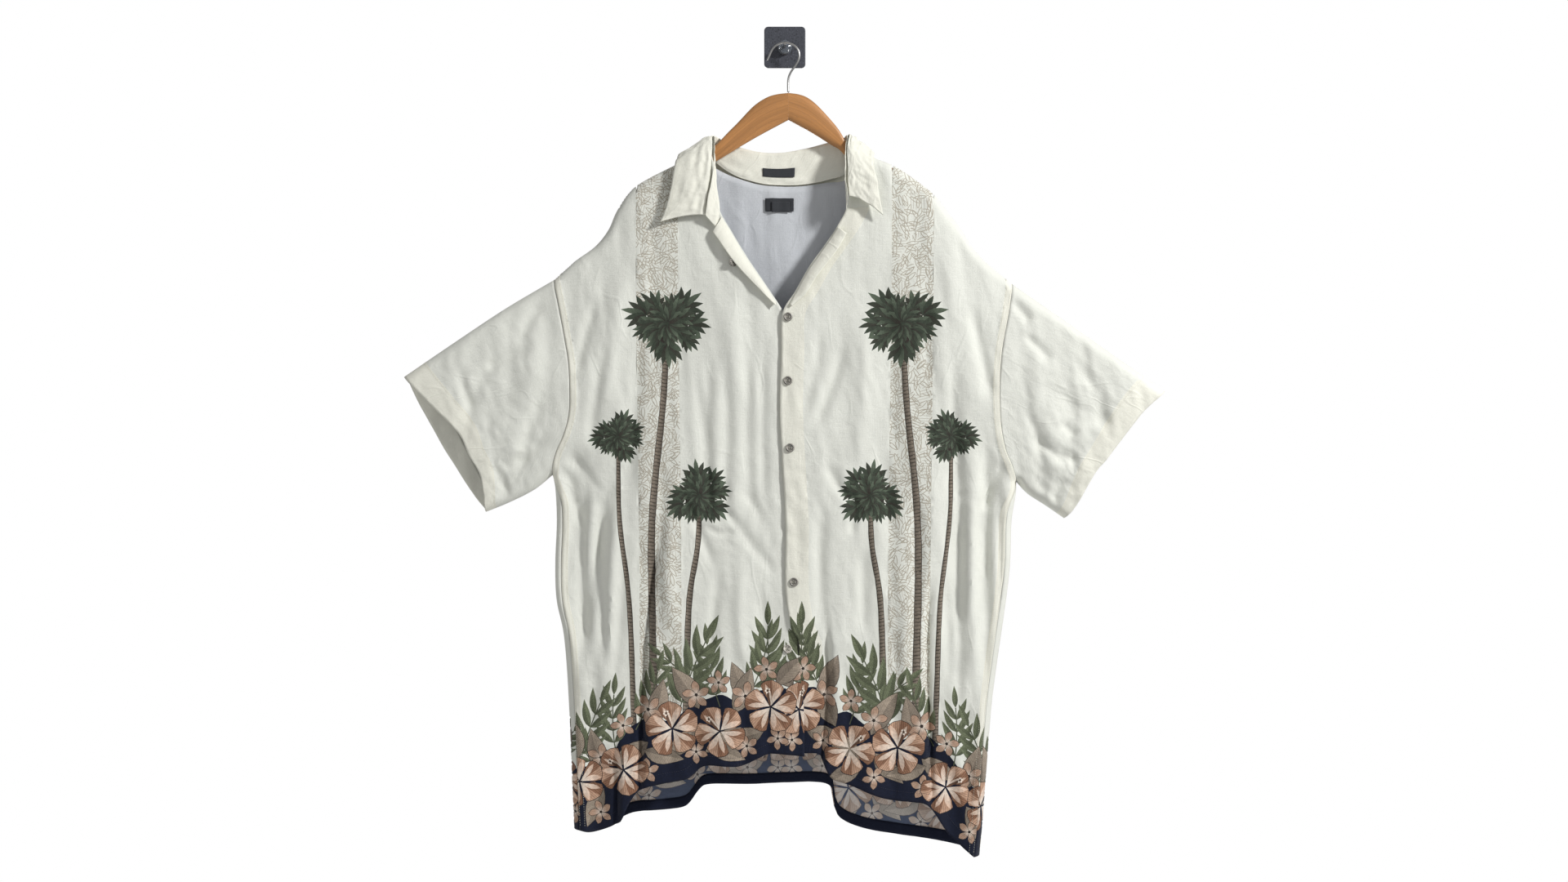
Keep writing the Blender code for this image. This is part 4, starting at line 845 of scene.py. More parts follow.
def cloth_grid(name, points, outside, thickness, materials, lift=0.0, ring=False):
    """A shell on a grid of points, rows by columns; outside is +1 or -1 on the grid's normals."""
    points = points + grid_normals(points, ring) * outside * lift
    rows, columns = points.shape[:2]
    index = np.arange(rows * columns).reshape(rows, columns)
    wide = points
    if ring:
        index, wide = np.concatenate([index, index[:, :1]], 1), np.concatenate([points, points[:, :1]], 1)
    u = np.concatenate([np.zeros((rows, 1)), np.cumsum(np.linalg.norm(np.diff(wide, axis=1), axis=2), 1)], 1)
    v = np.concatenate([[0], np.cumsum(np.linalg.norm(np.diff(wide, axis=0), axis=2).mean(1))])
    cells, uv = quads(index), quads(np.stack([u, np.broadcast_to((v - v[-1])[:, None], u.shape)], -1))
    if outside < 0:
        cells, uv = cells[:, ::-1], uv[:, ::-1]
    mesh = mesh_of(name, points.reshape(-1, 3), cells.tolist())
    set_uv(mesh, "Cloth", uv.reshape(-1, 2) * MM)
    return thicken(name, mesh, thickness, materials)


def loft(name, rings, materials, angle=40):
    """A closed solid through rings of equal counts, capped at both ends."""
    edit = bmesh.new()
    loops = [[edit.verts.new([c * MM for c in point]) for point in ring] for ring in rings]
    for first, second in zip(loops, loops[1:]):
        for j in range(len(first)):
            k = (j + 1) % len(first)
            edit.faces.new([first[j], first[k], second[k], second[j]])
    edit.faces.new(loops[0][::-1])
    edit.faces.new(loops[-1])
    bmesh.ops.recalc_face_normals(edit, faces=edit.faces)
    return add_piece(name, written(edit, bpy.data.meshes.new(name)), materials, angle)


def tube(name, route, radius, sides, materials):
    """A round bar with rounded ends along a route."""
    tangent = unit(np.gradient(route, axis=0))
    first = unit(np.cross(tangent, (0.0, 1.0, 0.0)))
    second = np.cross(tangent, first)
    turn = np.linspace(0, 2 * math.pi, sides, endpoint=False)[:, None]
    circle = lambda k, size, shift: (route[k] + tangent[k] * shift
                                     + size * (np.cos(turn) * first[k] + np.sin(turn) * second[k]))
    ends = [(0.25, 0.0), (0.7, 0.18)]
    rings = [circle(0, radius * a, radius * b) for a, b in ends]
    rings += [circle(k, radius, 0) for k in range(1, len(route) - 1)]
    rings += [circle(-1, radius * a, -radius * b) for a, b in ends[::-1]]
    return loft(name, rings, materials, 60)


def seat(piece, slot, *nodes):
    """Puts a piece on the shirt's body, in place of the solids it stands for."""
    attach(piece, "root")
    if nodes:
        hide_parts(*nodes)
    return piece


# The print ------------------------------------------------------------------------------------
def turned(angle):
    return np.array([math.cos(math.radians(angle)), math.sin(math.radians(angle))])


def circle_of(sides):
    return np.array([turned(360 * k / sides) for k in range(sides)])


def blade(at, angle, length, width, bend=0.0, power=1.0, ruffle=0.0, steps=8, fullest=0.5):
    """Left edge, middle and right edge of a leaf or petal, from its base to its tip."""
    t, way = np.linspace(0, 1, steps), turned(angle)
    across = np.array([-way[1], way[0]])
    half = 0.5 * width * np.sin(math.pi * t ** (np.log(0.5) / np.log(fullest))) ** power
    half = (half * (1 + ruffle * np.sin(t * 19)))[:, None]
    middle = np.asarray(at, float) + t[:, None] * length * way + (bend * length * t * t)[:, None] * across
    return middle + half * across, middle, middle - half * across


def ring_of(left, right):
    return np.vstack([left, right[-2:0:-1]])


def whole(sides, ink, tip=None, *pattern):
    """The shape between a blade's two edges; the pattern is its origin, way, along, across and strength."""
    return Shape(ring_of(sides[0], sides[2]), ink, tip, *pattern)


def halves(sides, tones, at, way, along, across, strength):
    """The two halves of a leaf or petal, each with its own two tones and slant of lines."""
    return [Shape(ring_of(edge, sides[1]), ink, tip, at, way, along, slant, strength)
            for edge, (ink, tip), slant in zip(sides[::2], tones, across)]


def leaf(at, angle, size, inks, bend):
    """A leaf with a dark rim, two halves of different tone and slanting veins."""
    width, rim, pitch = size * 0.42, 0.8, 3.2
    dark = blade(at - turned(angle) * rim, angle, size + 2 * rim, width + 2 * rim, bend, fullest=0.45)
    tones = (inks["dark"], inks["base"]), (inks["base"], inks["light"])
    return [whole(dark, inks["line"]), *halves(blade(at, angle, size, width, bend, fullest=0.45), tones, at,
                                               turned(angle) * size, 1 / pitch, (-1 / pitch, 1 / pitch), 0.55)]


def bloom(at, radius, turn, inks):
    """A wide bloom: five ruffled petals, each over the last, a streaked throat and a curved stamen."""
    shapes = []
    for k in range(5):
        angle = turn + 72 * k
        base, way = at + turned(angle) * radius * 0.05, turned(angle) * radius
        rim, petal = (blade(base, angle, radius + pad, radius * 0.86 + wide, 0.1, 0.6, 0.05, 12, 0.7)
                      for pad, wide in ((0.8, 1.5), (0, 0)))
        tones = (inks["deep"], inks["shade"]), (inks["shade"], inks["petal"])
        shapes += [whole(rim, inks["line"]), *halves(petal, tones, base, way, 0.0, (1 / 2.8, 1 / 2.8), 0.6)]
        for off, wide, tip in ((14, 0.2, inks["petal"]), (-13, 0.24, inks["light"])):
            streak = blade(base, angle + off, radius * 0.86, radius * wide, off / 90, 0.8, 0.0, 6, 0.6)
            shapes.append(whole(streak, inks["throat"], tip, base, way, 0.0, 1 / 1.7, 0.35))
    heading = turn + 100
    stamen = blade(at, heading, radius * 0.8, radius * 0.1, -0.2, 0.3, steps=6)
    shapes.append(whole(stamen, inks["deep"], inks["line"], at, turned(heading) * radius))
    tip = (stamen[0][-2] + stamen[2][-2]) / 2
    return shapes + [Shape(tip + turned(heading + 72 * k) * radius * 0.08 + radius * 0.04 * circle_of(5),
                           inks["throat"]) for k in range(5)]


def small_flower(at, radius, turn, inks):
    """A little flower of five rounded petals with a dark eye."""
    shapes = []
    for angle in range(0, 360, 72):
        for pad, ink, tip, strength in ((0.7, inks["line"], None, 0.0), (0, inks["throat"], inks["small"], 0.45)):
            petal = blade(at, turn + angle, radius + pad, radius * 0.54 + 2 * pad, 0.12, 0.75, fullest=0.6)
            shapes.append(whole(petal, ink, tip, at, turned(turn + angle) * radius * 0.5, 0.0, 1 / 2.2, strength))
    return shapes + [Shape(at + radius * 0.13 * circle_of(6), inks["line"])]


def feather_leaf(at, angle, length, inks, bend, pairs=4):
    """A stem with slender leaflets in pairs and one at its end."""
    stem = blade(at, angle, length * 0.74, 1, bend, steps=pairs + 2)[1]
    run, across = along_and_across(stem)
    heading = np.degrees(np.arctan2(run[:, 1], run[:, 0]))
    shapes = [Shape(np.vstack([stem + across * 0.8, (stem - across * 0.8)[::-1]]), inks["dark"])]
    tones = (inks["dark"], inks["base"]), (inks["base"], inks["light"])
    for k in range(1, pairs + 2):
        size = length * (0.34 - 0.08 * abs(k / pairs - 0.45))
        for way in (1, -1) if k <= pairs else (0,):
            start, turn = stem[k] + across[k] * way * 0.3, heading[k] + way * (52 - 4 * k)
            leaflet = blade(start, turn, size, size * 0.27, way * -0.16, steps=7, fullest=0.42)
            shapes += halves(leaflet, tones, start, turned(turn) * size, 1 / 3.4, (-1 / 3.4, 1 / 3.4), 0.5)
    return shapes


def fan(hub, angle, size, spread, inks, shift):
    """One round leaf of a palm: a half star of pleats that hang a little."""
    shapes = []
    tones = (inks["line"], inks["base"]), (inks["dark"], inks["light"]), (inks["dark"], inks["base"])
    for j, turn in enumerate(np.linspace(-spread, spread, 7)):
        length = size * (1 - 0.3 * (turn / spread) ** 2) * (0.9 + 0.1 * (j % 2))
        droop = -0.2 * math.cos(math.radians(angle + turn))
        pleat = blade(hub, angle + turn, length, size * 0.25, droop, 0.75, steps=5, fullest=0.45)
        shapes.append(whole(pleat, *tones[(j + shift) % 3], hub, turned(angle + turn) * size, 0.0, 1 / 2.0, 0.4))
    return shapes


# A crown's rings of round leaves: count, reach, size and spread of each
CROWN_RINGS = ((9, 0.46, 0.56, 66), (7, 0.24, 0.46, 54), (4, 0.04, 0.42, 50))


def fan_crown(at, radius, inks, turn):
    """A palm's crown: long-stalked round leaves behind, a dark heart and short leaves before it."""
    shapes = []
    for ring, (count, reach, share, spread) in enumerate(CROWN_RINGS):
        for k in range(count):
            angle = turn + 360 * (k + 0.4 * ring) / count + 9 * math.sin(2.4 * k + ring)
            hub = at + turned(angle) * radius * (reach + 0.09 * math.sin(1.7 * k + 1) * (ring == 0))
            side = np.array([-turned(angle)[1], turned(angle)[0]])
            stalk = np.array([at + side * 1.4, at - side * 1.4, hub - side * 0.7, hub + side * 0.7])
            size = radius * share * (1 + 0.16 * math.sin(2.1 * k + ring))
            shapes += [Shape(stalk, inks["dark"]), *fan(hub, angle + 6 * math.sin(3.1 * k), size, spread, inks, k)]
        if ring == 0:
            wave = np.array([[1 + 0.12 * math.sin(a * 0.12)] for a in range(0, 360, 20)])
            shapes.append(Shape(at + radius * 0.5 * (circle_of(18) * wave), inks["line"], inks["dark"],
                                at - (0, radius * 0.5), (0.0, radius), 0.3, 0.2, 0.5))
    return shapes


def along_and_across(points):
    run = unit(np.gradient(points, axis=0))
    return run, np.stack([-run[:, 1], run[:, 0]], -1)


def trunk(points, width, inks, steps=26):
    """A palm's stem with a dark rim and rings."""
    middle = at_share(points, np.linspace(0, 1, steps))
    across = along_and_across(middle)[1]
    half = 0.5 * width * np.linspace(0.72, 1.1, steps)[:, None] * (1 + 0.07 * np.sin(np.arange(steps) * 2.1))[:, None]
    wide = across * (half + 0.7)
    shapes = [Shape(np.vstack([middle + wide, (middle - wide)[::-1]]), inks["line"])]
    for a, b, p, q in zip(middle, middle[1:], across * half, (across * half)[1:]):
        shapes.append(Shape(np.array([a + p, a - p, b - q, b + q]), inks["dark"], inks["light"], a + p, -p * 2,
                            0.25 / width, 1 / 5.2, 0.9))
    return shapes


def mirrored(shapes):
    flip = np.array([-1.0, 1.0])
    return [s._replace(points=s.points * flip, origin=s.origin * flip, way=s.way * flip, across=-s.across)
            for s in shapes]


# Motifs over the hem: x, height, turn and size
BLOOMS = [(20, 66, 10, 36), (92, 50, 44, 35), (160, 74, 20, 37), (229, 48, 62, 35), (292, 72, 30, 34)]
SMALL_FLOWERS = [(56, 96, 0, 21), (54, 24, 30, 17), (126, 104, 20, 20), (126, 24, 50, 17), (194, 108, 40, 21),
                 (196, 22, 12, 18), (262, 100, 5, 20), (262, 22, 33, 17), (10, 22, 45, 16), (94, 118, 15, 17),
                 (230, 112, 30, 18), (308, 26, 55, 17), (26, 120, 25, 18)]
BROAD_LEAVES = [(50, 84, 60, 62), (72, 76, 118, 68), (62, 54, -40, 62), (122, 82, 64, 70), (126, 58, -52, 60),
                (190, 84, 112, 68), (194, 62, -38, 62), (200, 52, 200, 58), (256, 76, 66, 65), (258, 54, -60, 58),
                (12, 96, 128, 58), (108, 34, 214, 58), (30, 34, -20, 58), (294, 104, 84, 60)]
FEATHER_LEAVES = [(14, 84, 76, 130), (52, 92, 118, 114), (92, 84, 70, 118), (118, 100, 54, 106), (152, 88, 102, 154),
                  (212, 84, 120, 119), (240, 92, 80, 114), (268, 84, 62, 104), (292, 92, 100, 130)]
# Palms: the stem's points (x, z), its width and the crown's radius
PALMS = [(line(168, -404, 174, -520, 190, -700, 186, -925, 184, -1050), 9.5, 58),
         (line(238, -566, 236, -680, 222, -800, 216, -935, 212, -1060), 6.5, 38),
         (line(122, -650, 124, -720, 136, -800, 140, -930, 142, -1020), 8.0, 47)]
STRIP_EDGES = line(-214, -160, -212, -420, -208, -700, -206, -945)
STRIP_WIDTH, BORDER = 60.0, 94.0    # width of the pale strip, height of the dark ground over the hem
SIDE_LIMIT, MIDDLE = 345.0, 64.0    # the print is laid out past every seam, and this far past the middle


def between(near, far, ink=None, zone=None):
    """The shape between two lines."""
    return Shape(np.vstack([near, far[::-1]]), ink, zone=zone)


def half_print(hem, sets):
    """The print of the wearer's right half, at -X; hem gives the hem's height under a point."""
    x = np.linspace(-SIDE_LIMIT, 0, 60)
    low = np.stack([x, hem(x) - 20], -1)
    high = np.stack([x, hem(x) + BORDER + 4 * np.sin(x / 21) + 4 * np.sin(x / 8)], -1)
    edge = smooth(STRIP_EDGES, 4)
    shapes = [between(edge, edge + (STRIP_WIDTH, 0), zone=STRIP)]
    palms = [(stem * (-1.0, 1.0), width, radius) for stem, width, radius in PALMS]
    for stem, width, _ in palms:
        shapes += trunk(stem, width, sets["trunk"])
    for n, (stem, _, radius) in enumerate(palms):
        shapes += fan_crown(stem[0], radius, sets["palm"], 25.0 * n)
    shapes.append(between(low, high, sets["ground"]["base"]))
    motifs = ((FEATHER_LEAVES, lambda at, size, turn, k: feather_leaf(at, 180 - turn, size, sets["olive"],
                                                                      0.16 if k % 2 else -0.14)),
              (BROAD_LEAVES, lambda at, size, turn, k: leaf(at, 180 - turn, size, sets["taupe"],
                                                            0.12 if k % 2 else -0.1)),
              (SMALL_FLOWERS, lambda at, size, turn, k: small_flower(at, size, turn, sets["bloom"])),
              (BLOOMS, lambda at, size, turn, k: bloom(at, size, turn, sets["bloom"])))
    for places, draw in motifs:
        for k, (across, up, turn, size) in enumerate(places):
            shapes += draw(np.array([-across, hem(-across) + up]), size, turn, k)
    return shapes


def front_shapes(side, sets):
    """The print and the seam band of one front."""
    flip = INWARD[side]
    hem = lambda x: height_at_x(HEM[side, FRONT], x * flip)
    past = [s for s in mirrored(half_print(lambda x: hem(-x), sets)) if np.min(s.points, 0)[0] < MIDDLE]
    shapes = past + half_print(hem, sets)
    if side == LEFT:
        shapes = mirrored(shapes)
    beside = lambda edge, z, near, far, zone: between(np.stack([edge + near, z], -1), np.stack([edge + far, z], -1),
                                                      zone=zone)
    z = np.linspace(SHOULDER[side][-1][1] + 14, SIDE[side][-1][1] - 20, 150)
    for inset, zone in ((SEAM_BAND, CREAM), (SEAM_BAND + 0.7, None)):
        shapes.append(beside(outer_edge(side, z), z, -flip * 4, flip * inset, zone))
    if side == LEFT:
        z = np.linspace(-238, HEM[LEFT, FRONT][0][1] - 10, 80)
        shapes.append(beside(x_at_height(FRONT_EDGE[LEFT], z), z, -4, PLACKET, CREAM))
    return shapes


def back_shapes(sets):
    hem = lambda x: height_at_x(HEM[BACK], x)
    return half_print(hem, sets) + mirrored(half_print(lambda x: hem(-x), sets))


# Sizes and colours ----------------------------------------------------------------------------
def shade(name, description, *parts):
    """A colour property, from a screen colour of 0 to 255."""
    linear = tuple(((c / 255 + 0.055) / 1.055) ** 2.4 for c in parts)
    return bpy.props.FloatVectorProperty(name=name, description=description, default=linear, size=3, min=0, max=1,
                                         subtype="COLOR")


def span(name, description, millimetres):
    return bpy.props.FloatProperty(name=name, description=description, default=millimetres * MM, min=0,
                                   precision=5, subtype="DISTANCE", unit="LENGTH")


class ShirtSizes(bpy.types.PropertyGroup):
    """Sizes of the cloth and its sewing."""
    cloth: span("Cloth", "Thickness of the cloth as it shows", 0.55)
    facing_gap: span("Facing gap", "Space between a panel and the strip turned in behind it", 0.25)
    weave: span("Weave", "Distance from one thread of the cloth to the next", 0.55)
    stitch: span("Stitch", "Distance from one stitch to the next", 3.3)
    stitch_length: span("Stitch length", "Length of a stitch that shows", 2.3)
    thread: span("Thread", "Half thickness of the sewing thread", 0.28)
    rumple: span("Rumple", "Height of the collar's small dents", 0.9)
    edge_inset: span("Edge stitching", "Distance of the collar's stitching from its edge", 5.5)


class ShirtColours(bpy.types.PropertyGroup):
    """Colours of the cloth, its print and what it hangs on."""
    cloth: shade("Cloth", "A single layer of the cloth", 231, 232, 223)
    doubled: shade("Doubled cloth", "Two layers of the cloth, at seams and facings", 240, 239, 226)
    lining: shade("Wrong side", "The cloth's wrong side", 206, 209, 213)
    strip: shade("Strip", "Lines of the pale strip under the palms", 176, 168, 152)
    navy: shade("Border", "Dark ground of the border", 12, 20, 42)
    petal: shade("Petal", "Light part of a petal", 206, 168, 142)
    petal_shade: shade("Petal shade", "Dark part of a petal", 152, 112, 88)
    throat: shade("Throat", "Pale middle of a bloom", 240, 228, 214)
    small_petal: shade("Small petal", "Petal of a small flower", 184, 152, 130)
    taupe: shade("Broad leaf", "Leaves between the blooms", 150, 137, 122)
    olive: shade("Feather leaf", "Leaves over the border", 106, 113, 88)
    palm: shade("Palm", "Fans of the palms", 70, 79, 66)
    bark: shade("Bark", "Stems of the palms", 122, 112, 100)
    outline: shade("Outline", "Drawn outline of the print", 52, 44, 40)
    thread: shade("Thread", "Sewing thread", 232, 229, 212)
    hem_thread: shade("Hem thread", "Sewing thread of the front hems", 44, 48, 64)
    label: shade("Label", "Woven labels", 56, 58, 62)
    button: shade("Button", "Buttons", 148, 144, 136)
    wood: shade("Wood", "Hanger arms", 196, 138, 82)
    steel: shade("Steel", "Hook and peg", 196, 195, 193)
    pad: shade("Pad", "Wall pad", 66, 68, 76)


def scaled(colour, by):
    return tuple(min(1.0, part * by) for part in colour)


def shirt():
    """The shirt's sizes and its colours."""
    scene = bpy.context.scene
    return scene.shirt_sizes, scene.shirt_colours


# Node trees -----------------------------------------------------------------------------------
class Net:
    """Writes nodes into a tree. A value is a number, a tuple or another node's output."""

    def __init__(self, tree, shader=None):
        self.tree, self.shader = tree, shader

    def link(self, value, socket):
        if isinstance(value, bpy.types.NodeSocket):
            self.tree.links.new(value, socket)
        else:
            socket.default_value = (*value, 1) if socket.type == "RGBA" and len(value) == 3 else value

    def node(self, kind, inputs=(), **settings):
        """A new node's outputs."""
        made = self.tree.nodes.new("ShaderNode" + kind)
        for name, value in settings.items():
            setattr(made, name, value)
        for socket, value in dict(inputs).items():
            self.link(value, made.inputs[socket])
        return made.outputs

    def __getattr__(self, operation):
        """A math operation by its name, such as net.add(a, b)."""
        return lambda *values: self.node("Math", enumerate(values), operation=operation.upper())[0]

    def vector(self, operation, a, b):
        return self.node("VectorMath", {0: a, 1: b}, operation=operation)[0]

    def split(self, vector):
        return self.node("SeparateXYZ", {0: vector})

    def mix(self, share, a, b, blend="MIX"):
        return self.node("Mix", {0: share, 6: a, 7: b}, data_type="RGBA", blend_type=blend)[2]

    def tinted(self, colour, tone):
        grey = self.node("CombineColor", {0: tone, 1: tone, 2: tone})[0]
        return self.mix(1.0, colour, grey, "MULTIPLY")

    def step(self, value, low, high, start=0.0, end=1.0):
        """A soft step: start below low, end above high."""
        inputs = enumerate((value, low, high, start, end))
        return self.node("MapRange", inputs, interpolation_type="SMOOTHSTEP")[0]

    def noise(self, place, scale, detail=2.0, distortion=0.0, roughness=0.5):
        return self.node("TexNoise", {"Vector": place, "Scale": scale, "Detail": detail, "Roughness": roughness,
                                      "Distortion": distortion})[0]

    def saw(self, value):
        """The distance to the nearest half: a row of even teeth."""
        return self.absolute(self.subtract(self.fract(value), 0.5))

    def spun_cells(self, place, scale, randomness, own=False):
        """Random cells: places turned another way in each, in its own frame or not, and its random values."""
        cell = self.node("TexVoronoi", {"Vector": place, "Scale": scale, "Randomness": randomness})
        pick = self.node("SeparateColor", {0: cell["Color"]})
        place = self.vector("SUBTRACT", place, cell["Position"]) if own else place
        angle = self.multiply(pick[0], 3.1)
        turn = self.node("VectorRotate", {"Vector": place, "Angle": angle}, rotation_type="Z_AXIS")
        return self.split(turn[0]), pick

    def group(self, name, **inputs):
        return self.node("Group", {socket.replace("_", " "): value for socket, value in inputs.items()},
                         node_tree=bpy.data.node_groups[name])

    def streaks(self, place, across, along, detail=2.0):
        return self.group("Streaks", Vector=place, Across=across, Along=along, Detail=detail)[0]

    def place(self):
        return self.node("TexCoord")["Object"]

    def finish(self, colour, roughness=None, height=None, distance=0.0):
        """Links the shader's colour, and its roughness and bump where they vary."""
        self.link(colour, self.shader["Base Color"])
        if roughness is not None:
            self.link(roughness, self.shader["Roughness"])
        if height is not None:
            self.link(self.node("Bump", {"Height": height, "Distance": distance})[0], self.shader["Normal"])


def draw_streaks(net, vector, across, along, detail):
    """Noise drawn out along one axis: slubs, grain and brushing."""
    scale = net.node("CombineXYZ", {0: along, 1: across, 2: across})[0]
    return [net.noise(net.vector("MULTIPLY", vector, scale), 1.0, detail, roughness=0.55)]


def draw_weave(net, vector, pitch):
    """Over and under of plain woven threads, from a cloth's own coordinates in metres."""
    places = net.split(vector)
    runs = [net.divide(places[axis], pitch) for axis in (0, 1)]
    waves = [net.absolute(net.sine(net.multiply(run, math.pi))) for run in runs]
    parity = net.floored_modulo(net.add(*(net.floor(run) for run in runs)), 2.0)
    return [net.add(net.multiply(waves[0], parity), net.multiply(waves[1], net.subtract(1.0, parity)))]


def draw_cloth(net, vector, pitch, crinkle):
    """Height and tone of worn cloth: weave, slubs, fine crinkle, sharp wrinkles in places and faint stains. The tone
    is lighter on the weave's raised threads, a painted shade in its hollows.
    """
    weave = net.group("Weave", Vector=vector, Pitch=pitch)[0]
    threads = net.add(net.streaks(vector, 900.0, 60.0), net.streaks(vector, 45.0, 700.0))
    stain = net.noise(vector, 14.0, 3.0)
    wrinkle = net.noise(net.vector("MULTIPLY", vector, (1.0, 0.5, 1.0)), 24.0, 1.5, 0.5)
    ridge = net.step(net.absolute(net.subtract(wrinkle, 0.5)), 0.0, 0.05, 1.0, 0.0)
    height = net.multiply_add(threads, 0.16, net.multiply(weave, 0.06))
    height = net.multiply_add(net.noise(vector, 190.0, 4.0, 0.4, 0.6), crinkle, height)
    height = net.multiply_add(net.multiply(ridge, net.step(stain, 0.42, 0.6)), 0.3, height)
    tone = net.multiply_add(threads, 0.07, net.subtract(net.step(stain, 0.3, 0.7, 0.96, 1.0), 0.07))
    # The weave's height lightens the tone too: painted shade between the threads
    return [height, net.multiply_add(weave, 0.05, net.subtract(tone, 0.03))]


def draw_leaves(net, vector, shift, cells):
    """Outlines of slender leaves strewn at random, one to a cell."""
    place, _ = net.spun_cells(net.vector("ADD", vector, shift), cells, 0.9, own=True)
    run = net.multiply(place[0], 1 / LEAF_REACH)
    side = net.absolute(net.multiply(place[1], 1 / LEAF_HALF))
    off = net.absolute(net.subtract(side, net.subtract(1.0, net.multiply(run, run))))
    return [net.multiply(net.step(off, 0.1, 0.3, 1.0, 0.0), net.step(net.absolute(run), 0.9, 1.05, 1.0, 0.0))]


def draw_hatching(net, vector, cells, lines):
    """Short parallel strokes, slanted another way in each cell and left out of some."""
    place, pick = net.spun_cells(vector, cells, 0.8)
    stroke = net.step(net.saw(net.multiply(place[0], lines)), 0.36, 0.45)
    return [net.multiply(stroke, net.step(pick[1], 0.35, 0.4))]


def draw_print(net, cloth, doubled, strip, vector, ink, fade):
    """The cloth's colour with the pale strip and the inks on it; Fade under 1 gives its wrong side."""
    inks, lines, zone = (net.node("Attribute", attribute_name=name, attribute_type="GEOMETRY")
                         for name in ("print", "lines", "zone"))
    lines, zones = net.split(lines["Vector"]), net.node("SeparateColor", {0: zone["Color"]})
    wobble = net.noise(vector, 260.0)
    veins = net.multiply(net.step(net.saw(net.multiply_add(wobble, 0.7, lines[0])), 0.26, 0.46), lines[2])
    tone = net.multiply(net.step(wobble, 0.35, 0.65, 0.88, 1.08), net.subtract(1.0, net.multiply(veins, 0.7)))
    inked = net.node("Gamma", {0: net.tinted(inks["Color"], tone), 1: fade})[0]
    marks = net.multiply(net.group("Hatching", Vector=vector, Cells=52.0, Lines=260.0)[0], 0.7)
    for shift, cells in ((0.0, 60.0), (3.1, 54.0), (7.3, 66.0)):
        marks = net.maximum(net.group("Scattered leaves", Vector=vector, Shift=shift, Cells=cells)[0], marks)
    base = net.mix(zones[0], cloth, doubled)
    base = net.mix(net.multiply(marks, net.multiply(zones[1], ink)), base, strip)
    return [net.mix(net.multiply(inks["Alpha"], ink), base, inked)]


# The effects that several materials share: what draws each, its inputs and its outputs
EFFECTS = {
    "Streaks": (draw_streaks, "Vector Across Along Detail", "Value"),
    "Weave": (draw_weave, "Vector Pitch", "Height"),
    "Worn cloth": (draw_cloth, "Vector Pitch Crinkle", "Height Tone"),
    "Scattered leaves": (draw_leaves, "Vector Shift Cells", "Value"),
    "Hatching": (draw_hatching, "Vector Cells Lines", "Value"),
    "Print": (draw_print, "Cloth Doubled Strip Vector Ink Fade", "Color"),
}
SOCKET_KINDS = {"Vector": "Vector", "Cloth": "Color", "Doubled": "Color", "Strip": "Color", "Color": "Color"}


def make_groups():
    for name, (draw, given, made) in EFFECTS.items():
        tree = bpy.data.node_groups.new(name, "ShaderNodeTree")
        for labels, way in ((given.split(), "INPUT"), (made.split(), "OUTPUT")):
            for label in labels:
                tree.interface.new_socket(name=label, in_out=way,
                                          socket_type="NodeSocket" + SOCKET_KINDS.get(label, "Float"))
        net = Net(tree)
        given = list(tree.nodes.new("NodeGroupInput").outputs)[:len(given.split())]
        for value, socket in zip(draw(net, *given), tree.nodes.new("NodeGroupOutput").inputs):
            net.link(value, socket)


# Materials ------------------------------------------------------------------------------------
def material(name, dress, roughness, **sockets):
    """A material, made once: dress links its net, and words set the shader's own unlinked sockets."""
    if name not in bpy.data.materials:
        made = bpy.data.materials.new(name)
        made.use_nodes = True
        net = Net(made.node_tree, made.node_tree.nodes["Principled BSDF"].inputs)
        for socket, value in {"Roughness": roughness, **sockets}.items():
            net.shader[socket.replace("_", " ")].default_value = value
        dress(net)
    return bpy.data.materials[name]


def cloth_material(name, colour, crinkle=0.5, printed=None, ink=1.0, fade=1.0, band=None):
    """Woven cloth; a printed one gives its doubled and strip colours, a banded one its last rows' width and colour."""
    def dress(net):
        place = net.node("UVMap", uv_map="Cloth")[0]
        height, tone = net.group("Worn cloth", Vector=place, Pitch=shirt()[0].weave, Crinkle=crinkle)
        base = (*colour, 1)
        if printed:
            base = net.group("Print", Vector=place, Cloth=base, Doubled=printed[0], Strip=printed[1], Ink=ink,
                             Fade=fade)[0]
        if band:
            base = net.mix(net.step(net.split(place)[1], -band[0] - MM, -band[0]), base, band[1])
        net.finish(net.tinted(base, tone), height=height, distance=0.0011)
    return material(name, dress, 0.82, Sheen_Weight=0.12, Sheen_Roughness=0.5, Specular_IOR_Level=0.25)


def doubled_cloth():
    return [cloth_material("Doubled cloth", shirt()[1].doubled)]


def button_material(name, colour):
    def dress(net):
        swirl = net.noise(net.place(), 190.0, 3.0, 2.6)
        net.finish(net.mix(net.step(swirl, 0.42, 0.62), scaled(colour, 0.45), scaled(colour, 1.5)),
                   height=swirl, distance=0.00006)
    return material(name, dress, 0.22, Coat_Weight=0.4, Coat_Roughness=0.1)


def thread_material(colour="thread"):
    def dress(net):
        twist = net.node("TexWave", {"Vector": net.place(), "Scale": 900.0, "Distortion": 2.0, "Detail": 1.0})[1]
        # The twist's grooves are darker in the colour as well as in the bump: painted shade.
        net.finish(net.tinted((*getattr(shirt()[1], colour), 1), net.step(twist, 0.0, 1.0, 0.8, 1.0)),
                   height=twist, distance=0.0001)
    return material(colour.replace("_", " ").capitalize(), dress, 0.7, Sheen_Weight=0.2)


